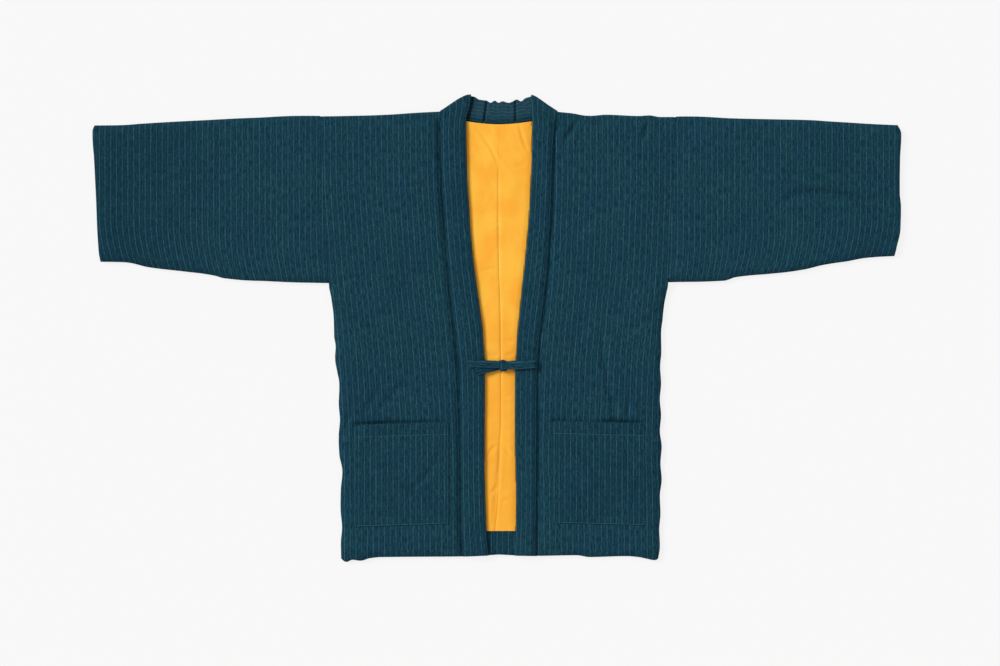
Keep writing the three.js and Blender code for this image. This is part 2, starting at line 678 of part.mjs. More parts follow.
// A strap of cloth along a table of places: x, down, height of its middle and its width.
function strap(rows, steps) {
  const path = new THREE.CatmullRomCurve3(
    rows.map(({ x, down, z }) => new THREE.Vector3(x, -down, z)), false, "centripetal",
  );
  const rings = [];
  for (let i = 0; i <= steps; i += 1) {
    const t = i / steps;
    const at = path.getPoint(t);
    const tangent = path.getTangent(t);
    const across = new THREE.Vector3(-tangent.y, tangent.x, 0);
    if (across.lengthSq() < 0.03) across.set(0, 1, 0);
    across.normalize();
    if (across.y < 0) across.negate();
    const normal = new THREE.Vector3().crossVectors(tangent, across).normalize();
    const k = t * (rows.length - 1);
    const row = Math.min(rows.length - 2, Math.floor(k));
    const half = mix(rows[row].wide, rows[row + 1].wide, k - row) / 2;
    const edge = TIE_THICK * 0.22;
    const face = TIE_THICK / 2;
    const corner = (w, n) => at.clone().addScaledVector(across, w).addScaledVector(normal, n);
    const ring = [
      corner(-half, edge), corner(-half * 0.8, face), corner(half * 0.8, face), corner(half, edge),
      corner(half, -edge), corner(half * 0.8, -face), corner(-half * 0.8, -face), corner(-half, -edge),
    ];
    const atKnot = Math.abs(at.x - KNOT.x) < KNOT.long / 2 + 2 * GAP;
    if (atKnot) ring.forEach((point) => point.setX(at.x));
    rings.push(ring);
  }
  return ringBar(rings);
}

const KNOT_LEFT = KNOT.x - KNOT.long / 2 - GAP;
const KNOT_RIGHT = KNOT.x + KNOT.long / 2 + GAP;
const straps = {
  tie_left: [
    { x: -23.3, down: TIE_DOWN, z: 10.6, wide: 12 }, { x: -12, down: TIE_DOWN, z: 10.4, wide: 11 },
    { x: KNOT_LEFT, down: TIE_DOWN, z: 10.6, wide: 8 },
  ],
  tie_right: [
    { x: KNOT_RIGHT, down: TIE_DOWN, z: 10.6, wide: 8 }, { x: 20, down: TIE_DOWN, z: 10.4, wide: 11 },
    { x: 26.4, down: TIE_DOWN, z: 10.6, wide: 12 },
  ],
  bow_tail_left: [
    { x: KNOT_LEFT, down: 419.2, z: 12.9, wide: 11 }, { x: -12, down: 419.6, z: 13.4, wide: 12 },
    { x: -22, down: 422, z: 15.2, wide: 12.5 }, { x: -31, down: 424.8, z: 16.5, wide: 12.5 },
    { x: -39, down: 427.6, z: 16.6, wide: 12.5 },
  ],
  bow_tail_right: [
    { x: KNOT_RIGHT, down: 419.2, z: 12.9, wide: 11 }, { x: 21, down: 418.6, z: 13.6, wide: 12.5 },
    { x: 30, down: 417.6, z: 15.6, wide: 13 }, { x: 42, down: 417, z: 16.5, wide: 13 },
    { x: 54, down: 416.6, z: 16.5, wide: 13 },
  ],
  bow_loop_left: [
    { x: KNOT_LEFT, down: 416, z: 15.2, wide: 11 }, { x: -14, down: 415.4, z: 15.9, wide: 11.5 },
    { x: -26, down: 414.8, z: 18.5, wide: 11.8 }, { x: -38, down: 414.6, z: 18.6, wide: 11.8 },
    { x: -47.5, down: 414.6, z: 18.8, wide: 11.8 }, { x: -49.6, down: 414.6, z: 20.2, wide: 11.8 },
    { x: -47.5, down: 414.6, z: 21.6, wide: 11.8 }, { x: -38, down: 414.6, z: 21.7, wide: 11.8 },
    { x: -26, down: 414.8, z: 21.4, wide: 11.8 }, { x: -14, down: 415.4, z: 19.6, wide: 11.5 },
    { x: KNOT_LEFT, down: 416, z: 18.2, wide: 11 },
  ],
  bow_loop_right: [
    { x: KNOT_RIGHT, down: 416, z: 15.2, wide: 11 }, { x: 22, down: 415, z: 16.2, wide: 12.6 },
    { x: 33, down: 414.2, z: 18.8, wide: 13.2 }, { x: 46, down: 414, z: 18.9, wide: 13.2 },
    { x: 57.5, down: 414, z: 19, wide: 13.2 }, { x: 59.8, down: 414, z: 20.4, wide: 13.2 },
    { x: 57.5, down: 414, z: 21.8, wide: 13.2 }, { x: 46, down: 414, z: 21.9, wide: 13.2 },
    { x: 33, down: 414.2, z: 21.7, wide: 13.2 }, { x: 22, down: 415, z: 19.8, wide: 12.6 },
    { x: KNOT_RIGHT, down: 416, z: 18.2, wide: 11 },
  ],
};
// Steps along each strap: more where it turns back on itself
const strapSteps = {
  tie_left: 4, tie_right: 4, bow_tail_left: 10, bow_tail_right: 10, bow_loop_left: 26, bow_loop_right: 26,
};

// The knot: a short fat bar along X, fullest in its middle.
function knot() {
  const middle = (KNOT.low + KNOT.high) / 2;
  const rings = [-1, -0.82, -0.45, 0, 0.45, 0.82, 1].map((t) => {
    const size = mix(0.84, 1, Math.sqrt(1 - t * t * 0.98));
    return Array.from({ length: 12 }, (_, k) => {
      const a = (Math.PI * 2 * k) / 12;
      const round = (c) => Math.sign(c) * Math.pow(Math.abs(c), 0.75);
      return new THREE.Vector3(
        KNOT.x + (t * KNOT.long) / 2,
        -KNOT.down + round(Math.cos(a)) * (KNOT.wide / 2) * size,
        middle + round(Math.sin(a)) * ((KNOT.high - KNOT.low) / 2) * size,
      );
    });
  });
  return ringBar(rings);
}

const outerCloth = new THREE.MeshStandardMaterial({ color: 0x1a3c4a, roughness: 0.9, metalness: 0 });
const liningCloth = new THREE.MeshStandardMaterial({ color: 0xfcb73f, roughness: 0.8, metalness: 0 });

const hanten = new THREE.Group();
const add = (name, geometry, material) => {
  const mesh = new THREE.Mesh(geometry, material.clone());
  mesh.name = name;
  hanten.add(mesh);
};
for (const [side, sign] of SIDES) {
  add(`body_${side}`, bodyHalf(side, sign), outerCloth);
  add(`sleeve_${side}`, sleeve(side, sign), outerCloth);
  add(`lining_${side}`, liningHalf(side, sign), liningCloth);
  add(`pocket_${side}`, pocket(side, sign), outerCloth);
}
add("collar", collar(), outerCloth);
add("hem_facing", hemFacing(), outerCloth);
for (const [name, rows] of Object.entries(straps)) add(name, strap(rows, strapSteps[name]), outerCloth);
add("bow_knot", knot(), outerCloth);

// The origin is under the middle of the whole jacket.
const reach = new THREE.Box3().setFromObject(hanten, true);
const middle = reach.getCenter(new THREE.Vector3());
hanten.position.set(-middle.x, -middle.y, 0);

export default hanten;
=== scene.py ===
import math

import bpy
import numpy as np
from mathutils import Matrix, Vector


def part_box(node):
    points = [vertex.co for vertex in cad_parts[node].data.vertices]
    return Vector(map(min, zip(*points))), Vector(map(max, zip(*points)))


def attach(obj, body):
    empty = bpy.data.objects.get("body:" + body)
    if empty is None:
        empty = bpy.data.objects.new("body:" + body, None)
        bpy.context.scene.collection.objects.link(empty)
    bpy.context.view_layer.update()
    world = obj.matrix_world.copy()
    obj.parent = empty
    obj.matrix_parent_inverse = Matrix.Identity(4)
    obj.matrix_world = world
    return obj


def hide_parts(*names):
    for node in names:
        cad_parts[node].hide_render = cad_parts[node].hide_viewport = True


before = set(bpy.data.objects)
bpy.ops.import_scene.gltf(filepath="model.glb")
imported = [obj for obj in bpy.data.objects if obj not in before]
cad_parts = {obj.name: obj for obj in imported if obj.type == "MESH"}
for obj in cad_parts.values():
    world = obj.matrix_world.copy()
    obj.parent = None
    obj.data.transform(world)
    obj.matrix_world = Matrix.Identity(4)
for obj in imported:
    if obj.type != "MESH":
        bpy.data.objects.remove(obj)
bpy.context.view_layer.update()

MM = 0.001
SIDES = {"left": -1, "right": 1}

# Cloth
WALL = 6.0
LEAST_WALL = 0.4
GAP = 0.3
SEAM_MEET = 0.04
LINING = 1.0
SLIT = 0.6
SEAM_DIP = {"left": 0.4, "right": 0.8}
SEAM_WIDE = 6.0
GROOVE = {"left": 5.3, "right": 4.7}
GROOVE_WIDE = {"left": 9.0, "right": 8.0}
SOFT_EDGE = 14.0
BACK_TOP = WALL
FRONT_UNDER = BACK_TOP + GAP
FRONT_TOP = FRONT_UNDER + WALL
LINING_UNDER = BACK_TOP + GAP
LINING_TOP = LINING_UNDER + LINING
FOLD_MIDDLE = (BACK_TOP + FRONT_UNDER) / 2
FOLD_RADIUS = FRONT_TOP - FOLD_MIDDLE

# Main sizes
BODY_LENGTH = 735.0
NECK_POINT = 98.0
NECK_DROP = 18.0
NECK_POINT_DOWN = -3 + FOLD_RADIUS
UNDERARM = 281.0
PANEL = 200.0
SLEEVE_SEAM = {"left": 296.0, "right": 293.0}
SLEEVE_SEAM_END = {"left": 281.2, "right": 279.6}
CUFF = 668.0
FACING_DEPTH = 43.0
STRIPE = 9.46

# Lengths that rows and columns of points are spread along
SLEEVE_DEEP = 250.0
SLEEVE_RUN = 372.0
BAND_LONG = 760.0
LINING_WIDE = 90.0

# Distances down of the closer rows at the pockets' mouths
MOUTH_ROWS = np.linspace(504, 524, 15)

# Other sizes
SLEEVE_LONG = 370.0
LINING_INSET = 4.0
FACING_BOTTOM = 730.0
FACING_HALF = 56.0

# Where the stripes of a small piece start, away from those of the bodies
FACING_STRIPES = 500.0
POCKET_STRIPES = 700.0

# First seed of each piece's unevenness
FRONT_SEED = {"left": 11, "right": 31}
SLEEVE_SEED = {"left": 51, "right": 71}
POCKET_SEED = {"left": 161, "right": 171}

# Where each sleeve starts to darken towards its cuff with painted shade, and by what share
SLEEVE_PAINTED_SHADE = {"left": (400, 1.0), "right": (420, 0.35)}
SLEEVE_PAINTED_SHADE_END = 620

# Where the tables' zero lies in the frame
CENTRE_X = (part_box("body_left")[1].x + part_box("body_right")[0].x) / 2
NECK_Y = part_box("body_left")[1].y - 3 * MM

SIDE_SEAM = {
    "left": dict(
        down=[290, 312, 349, 370, 387, 402, 428, 453, 480, 508, 534, 565, 594, 622, 654, 686, 712, 736],
        out=[281.2, 277, 273.5, 273, 270.5, 271.5, 268, 264.5, 265.5, 263.5, 265.5, 264.5, 259.5, 262,
             262.5, 260, 262, 261.5],
    ),
    "right": dict(
        down=[288, 302, 326, 342, 368, 394, 420, 447, 474, 500, 526, 552, 580, 606, 634, 662, 690, 714,
              736],
        out=[279.6, 276.5, 272.5, 271, 268.5, 269, 267, 268.5, 266.5, 268.5, 266.5, 269.5, 267.5, 269.5,
             266.5, 267.5, 265.5, 266.5, 264],
    ),
}
COLLAR_EDGES = {
    "left": dict(
        down=[0, 83, 150, 225, 326, 384, 441, 559, 665, 735],
        seam=[97.5, 96, 92, 86.5, 76.5, 70, 65.5, 63.5, 62.5, 60],
        free=[55, 53.5, 50, 44.5, 31.5, 25.5, 23.5, 24, 22, 17],
    ),
    "right": dict(
        down=[0, 55, 137, 220, 326, 400, 441, 559, 633, 735],
        seam=[97.5, 92, 89, 85, 75, 67, 65.5, 64.5, 64, 63],
        free=[55.5, 54.5, 51.5, 45.5, 34.5, 28.5, 26.5, 27, 28.5, 26],
    ),
}
SHOULDER_FOLD = {
    "left": dict(out=[98, 137, 192, 233, 296], down=[-3, -1, 2.5, 3.8, 5]),
    "right": dict(out=[98, 122, 152, 177, 232, 249, 267, 293], down=[-2.5, 0, 4, 2.2, 4.3, 3.3, 6, 6]),
}
HEM_LINE = {
    "left": dict(
        out=[0, 60, 188, 214, 230, 243, 252, 262],
        down=[731, 734, 735, 737, 741, 739.5, 743, 737],
    ),
    "right": dict(
        out=[0, 60, 129, 150, 208, 226, 246, 258, 266],
        down=[731, 733, 732, 735, 733.5, 734.5, 738, 740, 735],
    ),
}
SLEEVE_EDGES = {
    "left": dict(
        out=[281, 313, 399, 465, 482, 528, 590, 635, 672],
        top=[5, 4, 7, 10, 11, 13.3, 17, 19.7, 20],
        under=[281.5, 281, 278, 273.5, 269, 262.5, 255, 246.5, 246],
    ),
    "right": dict(
        out=[281, 311, 384, 405, 461, 517, 549, 591, 627, 668],
        top=[6, 5, 8, 8.6, 9.8, 11, 13, 15.5, 17.7, 19.5],
        under=[280, 279.5, 277.5, 271.5, 266, 259, 251.5, 245, 239, 236.5],
    ),
}
CUFF_EDGE = {
    "left": dict(share=[0, 0.05, 0.24, 0.55, 0.91, 1], out=[670, 673, 670.5, 667, 663, 660]),
    "right": dict(
        share=[0, 0.08, 0.26, 0.52, 0.62, 0.75, 0.93, 1],
        out=[660.5, 666, 664, 663.5, 665.5, 665, 658.5, 655],
    ),
}

# Collar band
COLLAR_WIDE = 44.0
COLLAR_THICK = 7.4
COLLAR_TURN = (LINING_TOP + 0.4) / 2
TURN_PRESS = 0.6
TURN_AT = {
    "left": dict(seam_down=-0.9, free_out=45.9, free_down=-28.0, give=1.8, crest=3.6),
    "right": dict(seam_down=-0.6, free_out=52.6, free_down=-27.5, give=2.8, crest=2.4),
}
NECK_EDGE = dict(
    x=[-46, -40, -33, -20, -14, -7, -1, 6, 15, 22, 30, 36, 43, 52.6],
    down=[-28.6, -27.4, -23, -21.2, -17.8, -21.2, -17.8, -20.2, -17.8, -19.6, -23, -20.2, -25, -28],
)
NECK_TUCKS = [
    dict(free=-20.3, seam=-25.5, half=1.7, depth=4.6),
    dict(free=27.0, seam=27.6, half=1.7, depth=4.2),
    dict(free=-45, seam=-55.5, half=3.6, depth=5.0),
    dict(free=-33, seam=-40, half=2.0, depth=0.9),
    dict(free=8, seam=9, half=2.2, depth=0.8),
]

# How much closer together the stripes look inside the back neck, where the band is gathered
NECK_STRIPES = 1.42

# How much darker the left of the band and the facing are than the bodies, as painted shade
COLLAR_PAINTED_SHADE = 0.42
FACING_PAINTED_SHADE = 0.6

# Pockets
POCKETS = {
    "left": dict(
        inner=83.0, outer=240.0, top=514.0, bottom=682.0, inner_rise=2.5, outer_drop=2.5, painted_shade=0.35,
    ),
    "right": dict(
        inner=90.0, outer=241.0, top=511.0, bottom=679.0, inner_rise=1.0, outer_drop=3.0, painted_shade=0.55,
    ),
}
POCKET_THICK = 0.9
POCKET_MOUTH = 19.5
POCKET_CLEAR = 0.2

# Main creases: depth, half width, then the points (out, down) through which the trough runs
FRONT_CREASES = {
    "left": [
        (4.0, 4.8, (247, 328), (220, 343), (194, 370)),
        (1.5, 5, (236, 356), (214, 366), (196, 388)),
        (1.7, 4, (270, 279), (238, 272), (200, 265)),
        (2.2, 5.5, (148, 444), (174, 462), (200, 488)),
        (1.8, 5.5, (184, 450), (204, 468), (222, 497)),
        (3.4, 5, (246, 500), (252, 512), (260, 534)),
        (1.2, 5, (132, 455), (128, 476), (121, 500)),
        (1.3, 8, (205, 405), (168, 420), (128, 425)),
        (1.3, 10, (160, 200), (152, 255), (150, 305)),
        (2.3, 5.2, (98, 566), (122, 601), (150, 628)),
        (1.6, 8, (226, 552), (212, 590), (206, 636)),
        (1.2, 8, (180, 610), (172, 640), (170, 668)),
    ],
    "right": [
        (3.0, 5, (170, 346), (173, 396), (182, 450), (190, 503)),
        (1.3, 8, (150, 318), (140, 352), (118, 392)),
        (4.2, 3.8, (130, 12), (121, 27), (112, 48)),
        (2.2, 4, (116, 24), (110, 40), (104, 62)),
        (4.0, 4, (247, 12), (243, 28), (237, 50)),
        (2.8, 4, (214, 462), (214, 486), (212, 508)),
        (2.4, 4, (190, 474), (190, 492), (191, 508)),
        (1.5, 7, (272, 330), (240, 345), (205, 372)),
        (1.3, 9, (110, 210), (138, 190), (160, 150)),
        (1.2, 8, (236, 284), (214, 300), (196, 330)),
        (3.0, 5, (114, 542), (148, 574), (178, 622)),
        (2.0, 4.8, (205, 540), (213, 566), (221, 596)),
        (1.6, 5, (234, 598), (227, 624), (222, 652)),
        (1.4, 8, (130, 600), (134, 632), (150, 660)),
    ],
}
SLEEVE_CREASES = {
    "left": [
        (1.5, 7, (466, 12), (462, 60), (460, 118)),
        (1.4, 7, (330, 262), (360, 245), (400, 236)),
        (1.5, 13, (556, 50), (548, 120), (540, 196)),
        (1.3, 11, (650, 70), (618, 96), (585, 110)),
    ],
    "right": [
        (5.0, 6, (462, 150), (515, 133), (568, 136), (616, 158), (660, 190)),
        (1.4, 9, (330, 226), (380, 205), (430, 172)),
        (1.4, 10, (560, 44), (600, 66), (640, 108)),
    ],
}


def mix(a, b, t):
    return a + (b - a) * t


def smooth(start, end, t):
    s = np.clip((np.asarray(t, float) - start) / (end - start), 0, 1)
    return s * s * (3 - 2 * s)


def curve(x, y):
    """A curve through the points that never overshoots them."""
    x, y = np.asarray(x, float), np.asarray(y, float)
    rise = np.diff(y) / np.diff(x)
    slope = np.zeros(len(x))
    slope[0], slope[-1] = rise[0], rise[-1]
    product = rise[:-1] * rise[1:]
    both = np.where(product > 0, rise[:-1] + rise[1:], 1)
    slope[1:-1] = np.where(product > 0, 2 * product / both, 0)

    def at(p):
        p = np.clip(np.asarray(p, float), x[0], x[-1])
        i = np.clip(np.searchsorted(x, p, side="right") - 1, 0, len(x) - 2)
        h = x[i + 1] - x[i]
        t = (p - x[i]) / h
        a = y[i] + slope[i] * h * t
        b = y[i + 1] - slope[i + 1] * h * (1 - t)
        return a + (b - a) * t * t * (3 - 2 * t)

    return at


def noise(u, v, seed):
    """Smooth noise from -1 to 1, with one cell for each unit."""
    values = np.random.default_rng(seed).uniform(-1, 1, (64, 64))
    u, v = np.broadcast_arrays(np.asarray(u, float), np.asarray(v, float))
    iu, iv = np.floor(u).astype(int), np.floor(v).astype(int)
    fu, fv = u - iu, v - iv
    fu, fv = fu * fu * (3 - 2 * fu), fv * fv * (3 - 2 * fv)
    low = mix(values[iu % 64, iv % 64], values[(iu + 1) % 64, iv % 64], fu)
    high = mix(values[iu % 64, (iv + 1) % 64], values[(iu + 1) % 64, (iv + 1) % 64], fu)
    return mix(low, high, fv)


def fullness(distance, width=SOFT_EDGE, power=0.5):
    """How full a padded wall is at a distance from its edge: 0 at the edge and 1 inside."""
    t = 1 - np.clip(np.asarray(distance, float) / width, 0, 1)
    return np.clip(1 - t * t, 0, 1) ** power


def roundness(distance, width=SOFT_EDGE):
    """Like fullness, for a softer edge that starts to fall further in."""
    return fullness(distance, width, 0.8)


# How deep the front sinks at each pocket's mouth, from its inner to its outer end
MOUTH_GAPE = {
    "left": curve([0, 0.18, 0.32, 0.5, 0.62, 0.8, 1], [1.2, 2.6, 3.8, 4.0, 5.2, 5.6, 3.6]),
    "right": curve([0, 0.2, 0.5, 0.62, 0.7, 0.88, 1], [3.4, 2.2, 2.6, 4.8, 5.2, 4.8, 2.0]),
}

# How far a stripe of the front has moved inwards, by its distance down, and where the first one is
STRIPE_LEAN = {
    "left": curve(
        [0, 100, 170, 220, 270, 320, 370, 420, 470, 520, 570, 740],
        [0, 0.8, 4.5, 8, 12, 17, 22, 26, 29, 31.5, 33, 33.5],
    ),
    "right": curve(
        [0, 120, 170, 220, 270, 320, 370, 420, 470, 520, 570, 620, 740],
        [0, 0, 1.7, 3.3, 6, 10.3, 14.3, 18.3, 20, 21.5, 22.5, 21, 20],
    ),
}
STRIPE_START = {"left": -0.45, "right": 4.4}
SLEEVE_STRIPE_START = {"left": -3.6, "right": 2.7}
SLEEVE_BEND = 75.0


class Outline:
    """One side's seams and edges as functions."""

    def __init__(self, side):
        below = curve(SIDE_SEAM[side]["down"], SIDE_SEAM[side]["out"])
        corner = SIDE_SEAM[side]["down"][0]
        self.side = lambda down: np.where(
            down < corner, mix(SLEEVE_SEAM[side], SLEEVE_SEAM_END[side], down / corner), below(down),
        )
        edges = COLLAR_EDGES[side]
        self.seam = curve(edges["down"], edges["seam"])
        self.free = curve(edges["down"], edges["free"])
        self.fold = curve(SHOULDER_FOLD[side]["out"], SHOULDER_FOLD[side]["down"])
        self.hem = curve(HEM_LINE[side]["out"], HEM_LINE[side]["down"])
        sleeve = SLEEVE_EDGES[side]
        self.sleeve_top = curve(sleeve["out"], sleeve["top"])
        self.sleeve_under = curve(sleeve["out"], sleeve["under"])
        self.cuff = curve(CUFF_EDGE[side]["share"], CUFF_EDGE[side]["out"])

    def along(self, out_at, share, offset):
        """Out to a seam at each share of the length, by the seam's real distance down."""
        out = out_at(share * BODY_LENGTH) + offset
        for _ in range(3):
            out = out_at(mix(self.fold(out) + FOLD_RADIUS, self.hem(out), share)) + offset
        return out


OUTLINE = {side: Outline(side) for side in SIDES}


def neckline(out):
    return mix(NECK_DROP, NECK_POINT_DOWN, np.clip(np.asarray(out, float) / NECK_POINT, 0, 1) ** 1.8)


def spread(length, step, near=(0, 0.5, 1.2, 2.2, 3.5, 5, 7, 9)):
    """Distances along a length: close together near both ends, then about a step apart."""
    near = np.asarray(near, float)
    count = max(1, int(round((length - 2 * near[-1]) / step)))
    middle = np.linspace(near[-1], length - near[-1], count + 1)[1:-1]
    return np.concatenate([near, middle, length - near[::-1]])


def trough(out, down, crease):
    """A soft crease through a few points, with a low ridge beside it that fades at both ends."""
    depth, wide, *points = crease
    keys, t = np.linspace(0, 1, len(points)), np.linspace(0, 1, 25)
    px, py = (curve(keys, values)(t) for values in zip(*points))
    best = np.full(np.shape(out), 1e9)
    at = np.zeros(np.shape(out))
    for k in range(len(t) - 1):
        dx, dy = px[k + 1] - px[k], py[k + 1] - py[k]
        s = np.clip(((out - px[k]) * dx + (down - py[k]) * dy) / (dx * dx + dy * dy), 0, 1)
        distance = np.hypot(out - px[k] - s * dx, down - py[k] - s * dy)
        nearer = distance < best
        best = np.where(nearer, distance, best)
        at = np.where(nearer, (k + s) / (len(t) - 1), at)
    fade = np.clip(np.sin(np.pi * np.clip(at, 0.02, 0.98)), 0, 1) ** 0.7
    valley = np.exp(-((best / wide) ** 1.6))
    ridge = 0.25 * np.exp(-(((best - 2.2 * wide) / wide) ** 2))
    return depth * fade * (ridge - valley)


def wadding(out, down, seed):
    """Uneven wadding under the cloth."""
    broad = 0.9 * noise(out / 75, down / 115, seed)
    middle = 0.7 * noise(out / 31, down / 44, seed + 1)
    fine = 0.26 * noise(out / 11, down / 15, seed + 2)
    return broad + middle + fine


def puckers(room, along, seed, height, reach, pitch):
    """Short gathers that run in from a seam, uneven in size and spacing."""
    shift = 0.9 * noise(along / (2.3 * pitch), room / 60, seed)
    strength = np.clip(0.55 + 0.75 * noise(along / (2.7 * pitch), 0.5, seed + 1), 0, 1.3)
    wave = np.sin(2 * np.pi * (along / pitch + shift))
    return height * strength * wave * np.exp(-((room / reach) ** 1.4))


def at_sleeve(down):
    """1 where the side is sewn to the sleeve and 0 where it is free, below the underarm."""
    return 1 - smooth(UNDERARM - 8, UNDERARM + 14, down)


def front_top(side, out, down):
    """Height of the front's outer cloth above the surface."""
    edge = OUTLINE[side]
    side_room = edge.side(down) - out
    seam_room = out - edge.seam(down)
    hem_room = edge.hem(out) - down
    top_room = down - edge.fold(out) - FOLD_RADIUS
    sewn = at_sleeve(down)
    dipped = 1 - (SEAM_DIP[side] / WALL) * (1 - fullness(side_room, SEAM_WIDE))
    side_full = mix(roundness(side_room), dipped, sewn)
    uneven = 0.86 + 0.2 * noise(down / 23, 0.5, 17) + 0.12 * noise(down / 8, 0.5, 18)
    sunk = GROOVE[side] / WALL * np.minimum(uneven, 1.02) * smooth(0, 20, top_room)
    seam_full = 1 - sunk * (1 - smooth(0, GROOVE_WIDE[side], seam_room))
    full = mix(0.2, 1, side_full * roundness(hem_room, 11)) * seam_full
    nearest = np.minimum(np.minimum(side_room, seam_room), np.minimum(hem_room, top_room))
    inside = smooth(0, 26, nearest)
    seed = FRONT_SEED[side]
    z = FRONT_UNDER + WALL * full + (0.8 + wadding(out, down, seed)) * inside
    gentle = smooth(1, 7, nearest)
    z = z + puckers(side_room, down, seed + 3, 1.0, 20, 31) * (1 - sewn) * gentle
    z = z + puckers(side_room, down, seed + 4, 0.5, 15, 17) * sewn * gentle * smooth(0, 30, top_room)
    z = z + puckers(hem_room, out, seed + 5, 0.8, 15, 33) * gentle
    z = z + puckers(seam_room, down, seed + 6, 0.35, 12, 15) * gentle * smooth(0, 30, top_room)
    creases = sum(trough(out, down, crease) for crease in FRONT_CREASES[side])
    return np.maximum(z + creases * smooth(0, 12, nearest), FRONT_UNDER + LEAST_WALL)


def pocket_dip(side, out, down):
    """How far the front sinks at a pocket's mouth and along its sewn edges."""
    p = POCKETS[side]
    u = (out - p["inner"]) / (p["outer"] - p["inner"])
    below = down - p["top"] - mix(-p["inner_rise"], p["outer_drop"], u)
    height = p["bottom"] - p["top"]
    beside = np.maximum(p["inner"] - out, out - p["outer"])
    beyond = np.maximum(beside, np.maximum(-below, below - height))
    gape = MOUTH_GAPE[side](np.clip(u, 0, 1)) * (1 - smooth(-2, 5, beside))
    mouth = gape * np.exp(-(((below + 0.5) / 4.6) ** 2))
    edge = 0.45 * np.exp(-((beyond / 3.2) ** 2)) * (beyond > -6)
    return np.maximum(mouth, edge)


def back_under(side, out, down):
    edge = OUTLINE[side]
    sewn, side_room = at_sleeve(down), edge.side(down) - out
    side_full = mix(fullness(side_room, 6), 1, sewn)
    seams = sewn * (1 - fullness(side_room, 7)) + (1 - fullness(out, 6))
    return 0.5 * WALL * (1 - side_full * fullness(edge.hem(out) - down, 6)) + 1.2 * np.clip(seams, 0, 1)


def place(sign, out, down, z):
    """Points in the frame, in metres."""
    out, down, z = np.broadcast_arrays(out, down, z)
    return np.stack([CENTRE_X + sign * out * MM, NECK_Y - down * MM, z * MM], axis=-1)


def in_scene(name, data):
    """A new object of the scene."""
    found = bpy.data.objects.new(name, data)
    bpy.context.scene.collection.objects.link(found)
    return found


def make_mesh(name, points, faces, face_uv, sharp=55):
    """A mesh object from points, quads or triangles and a cloth coordinate for each corner."""
    used = np.unique(np.concatenate([f.ravel() for f in faces]))
    renumber = np.zeros(len(points), int)
    renumber[used] = np.arange(len(used))
    points = points[used]
    volume = 0.0
    for f in faces:
        a = points[renumber[f[:, 0]]]
        for k in range(1, f.shape[1] - 1):
            b, c = points[renumber[f[:, k]]], points[renumber[f[:, k + 1]]]
            volume += float(np.einsum("ij,ij->i", a, np.cross(b, c)).sum())
    if volume < 0:
        faces = [f[:, ::-1] for f in faces]
        face_uv = [u[:, ::-1] for u in face_uv]
    corners = np.concatenate([renumber[f].ravel() for f in faces]).astype(np.int32)
    sizes = np.concatenate([np.full(len(f), f.shape[1]) for f in faces]).astype(np.int32)
    mesh = bpy.data.meshes.new(name)
    mesh.vertices.add(len(points))
    mesh.vertices.foreach_set("co", points.ravel().astype(np.float32))
    mesh.loops.add(len(corners))
    mesh.loops.foreach_set("vertex_index", corners)
    mesh.polygons.add(len(sizes))
    starts = np.concatenate([[0], np.cumsum(sizes)[:-1]]).astype(np.int32)
    mesh.polygons.foreach_set("loop_start", starts)
    mesh.update(calc_edges=True)
    layer = mesh.uv_layers.new(name="cloth")
    layer.data.foreach_set("uv", np.concatenate([u.reshape(-1) for u in face_uv]).astype(np.float32))
    mesh.validate()
    mesh.shade_smooth()
    mesh.set_sharp_from_angle(angle=math.radians(sharp))
    return in_scene(name, mesh)


def lattice_wall(name, upper, lower, uv, present=None):
    """A closed wall between an upper and a lower lattice of points, on the cells that are present."""
    rows, columns = upper.shape[:2]
    points = np.concatenate([upper.reshape(-1, 3), lower.reshape(-1, 3)])
    uv = np.concatenate([uv.reshape(-1, 2), uv.reshape(-1, 2)])
    index = np.arange(rows * columns).reshape(rows, columns)
    shift = rows * columns
    if present is None:
        present = np.ones((rows - 1, columns - 1), bool)
    a, b, c, d = index[:-1, :-1], index[:-1, 1:], index[1:, 1:], index[1:, :-1]
    top = np.stack([a, b, c, d], -1)[present]
    quads = [top, top[:, ::-1] + shift]
    around = np.pad(present, 1)
    for start, end, beyond in (
        (a, b, around[:-2, 1:-1]), (b, c, around[1:-1, 2:]),
        (c, d, around[2:, 1:-1]), (d, a, around[1:-1, :-2]),
    ):
        edge = present & ~beyond
        s, e = start[edge], end[edge]
        quads.append(np.stack([e, s, s + shift, e + shift], -1))
    faces = np.concatenate(quads)
    return make_mesh(name, points, [faces], [uv[faces]])


def ring_quads(rows, count):
    """Quads between rings of points, and their corners on a cloth grid one column wider."""
    i, k = np.meshgrid(np.arange(rows - 1), np.arange(count), indexing="ij")
    i, k = i.ravel(), k.ravel()
    after, wide = (k + 1) % count, count + 1
    quads = np.stack([i * count + k, i * count + after, (i + 1) * count + after, (i + 1) * count + k], -1)
    corners = np.stack([i * wide + k, i * wide + k + 1, (i + 1) * wide + k + 1, (i + 1) * wide + k], -1)
    return quads, corners


def tube_wall(name, outer, inner, uv):
    """A closed tube wall between outer and inner rings. uv has one more column than the rings."""
    rows, count = outer.shape[:2]
    points = np.concatenate([outer.reshape(-1, 3), inner.reshape(-1, 3)])
    flat = uv.reshape(-1, 2)
    quads, corners = ring_quads(rows, count)
    shift, wide = rows * count, count + 1
    faces = [quads, quads[:, ::-1] + shift]
    face_uv = [flat[corners], flat[corners[:, ::-1]]]
    k = np.arange(count)
    for row, way in ((0, 1), (rows - 1, -1)):
        a, b = row * count + k, row * count + (k + 1) % count
        rim = np.stack([a, a + shift, b + shift, b], -1)
        ua, ub = row * wide + k, row * wide + k + 1
        rim_uv = np.stack([ua, ua, ub, ub], -1)
        faces.append(rim[:, ::way])
        face_uv.append(flat[rim_uv[:, ::way]])
    return make_mesh(name, points, [np.concatenate(faces)], [np.concatenate(face_uv)])


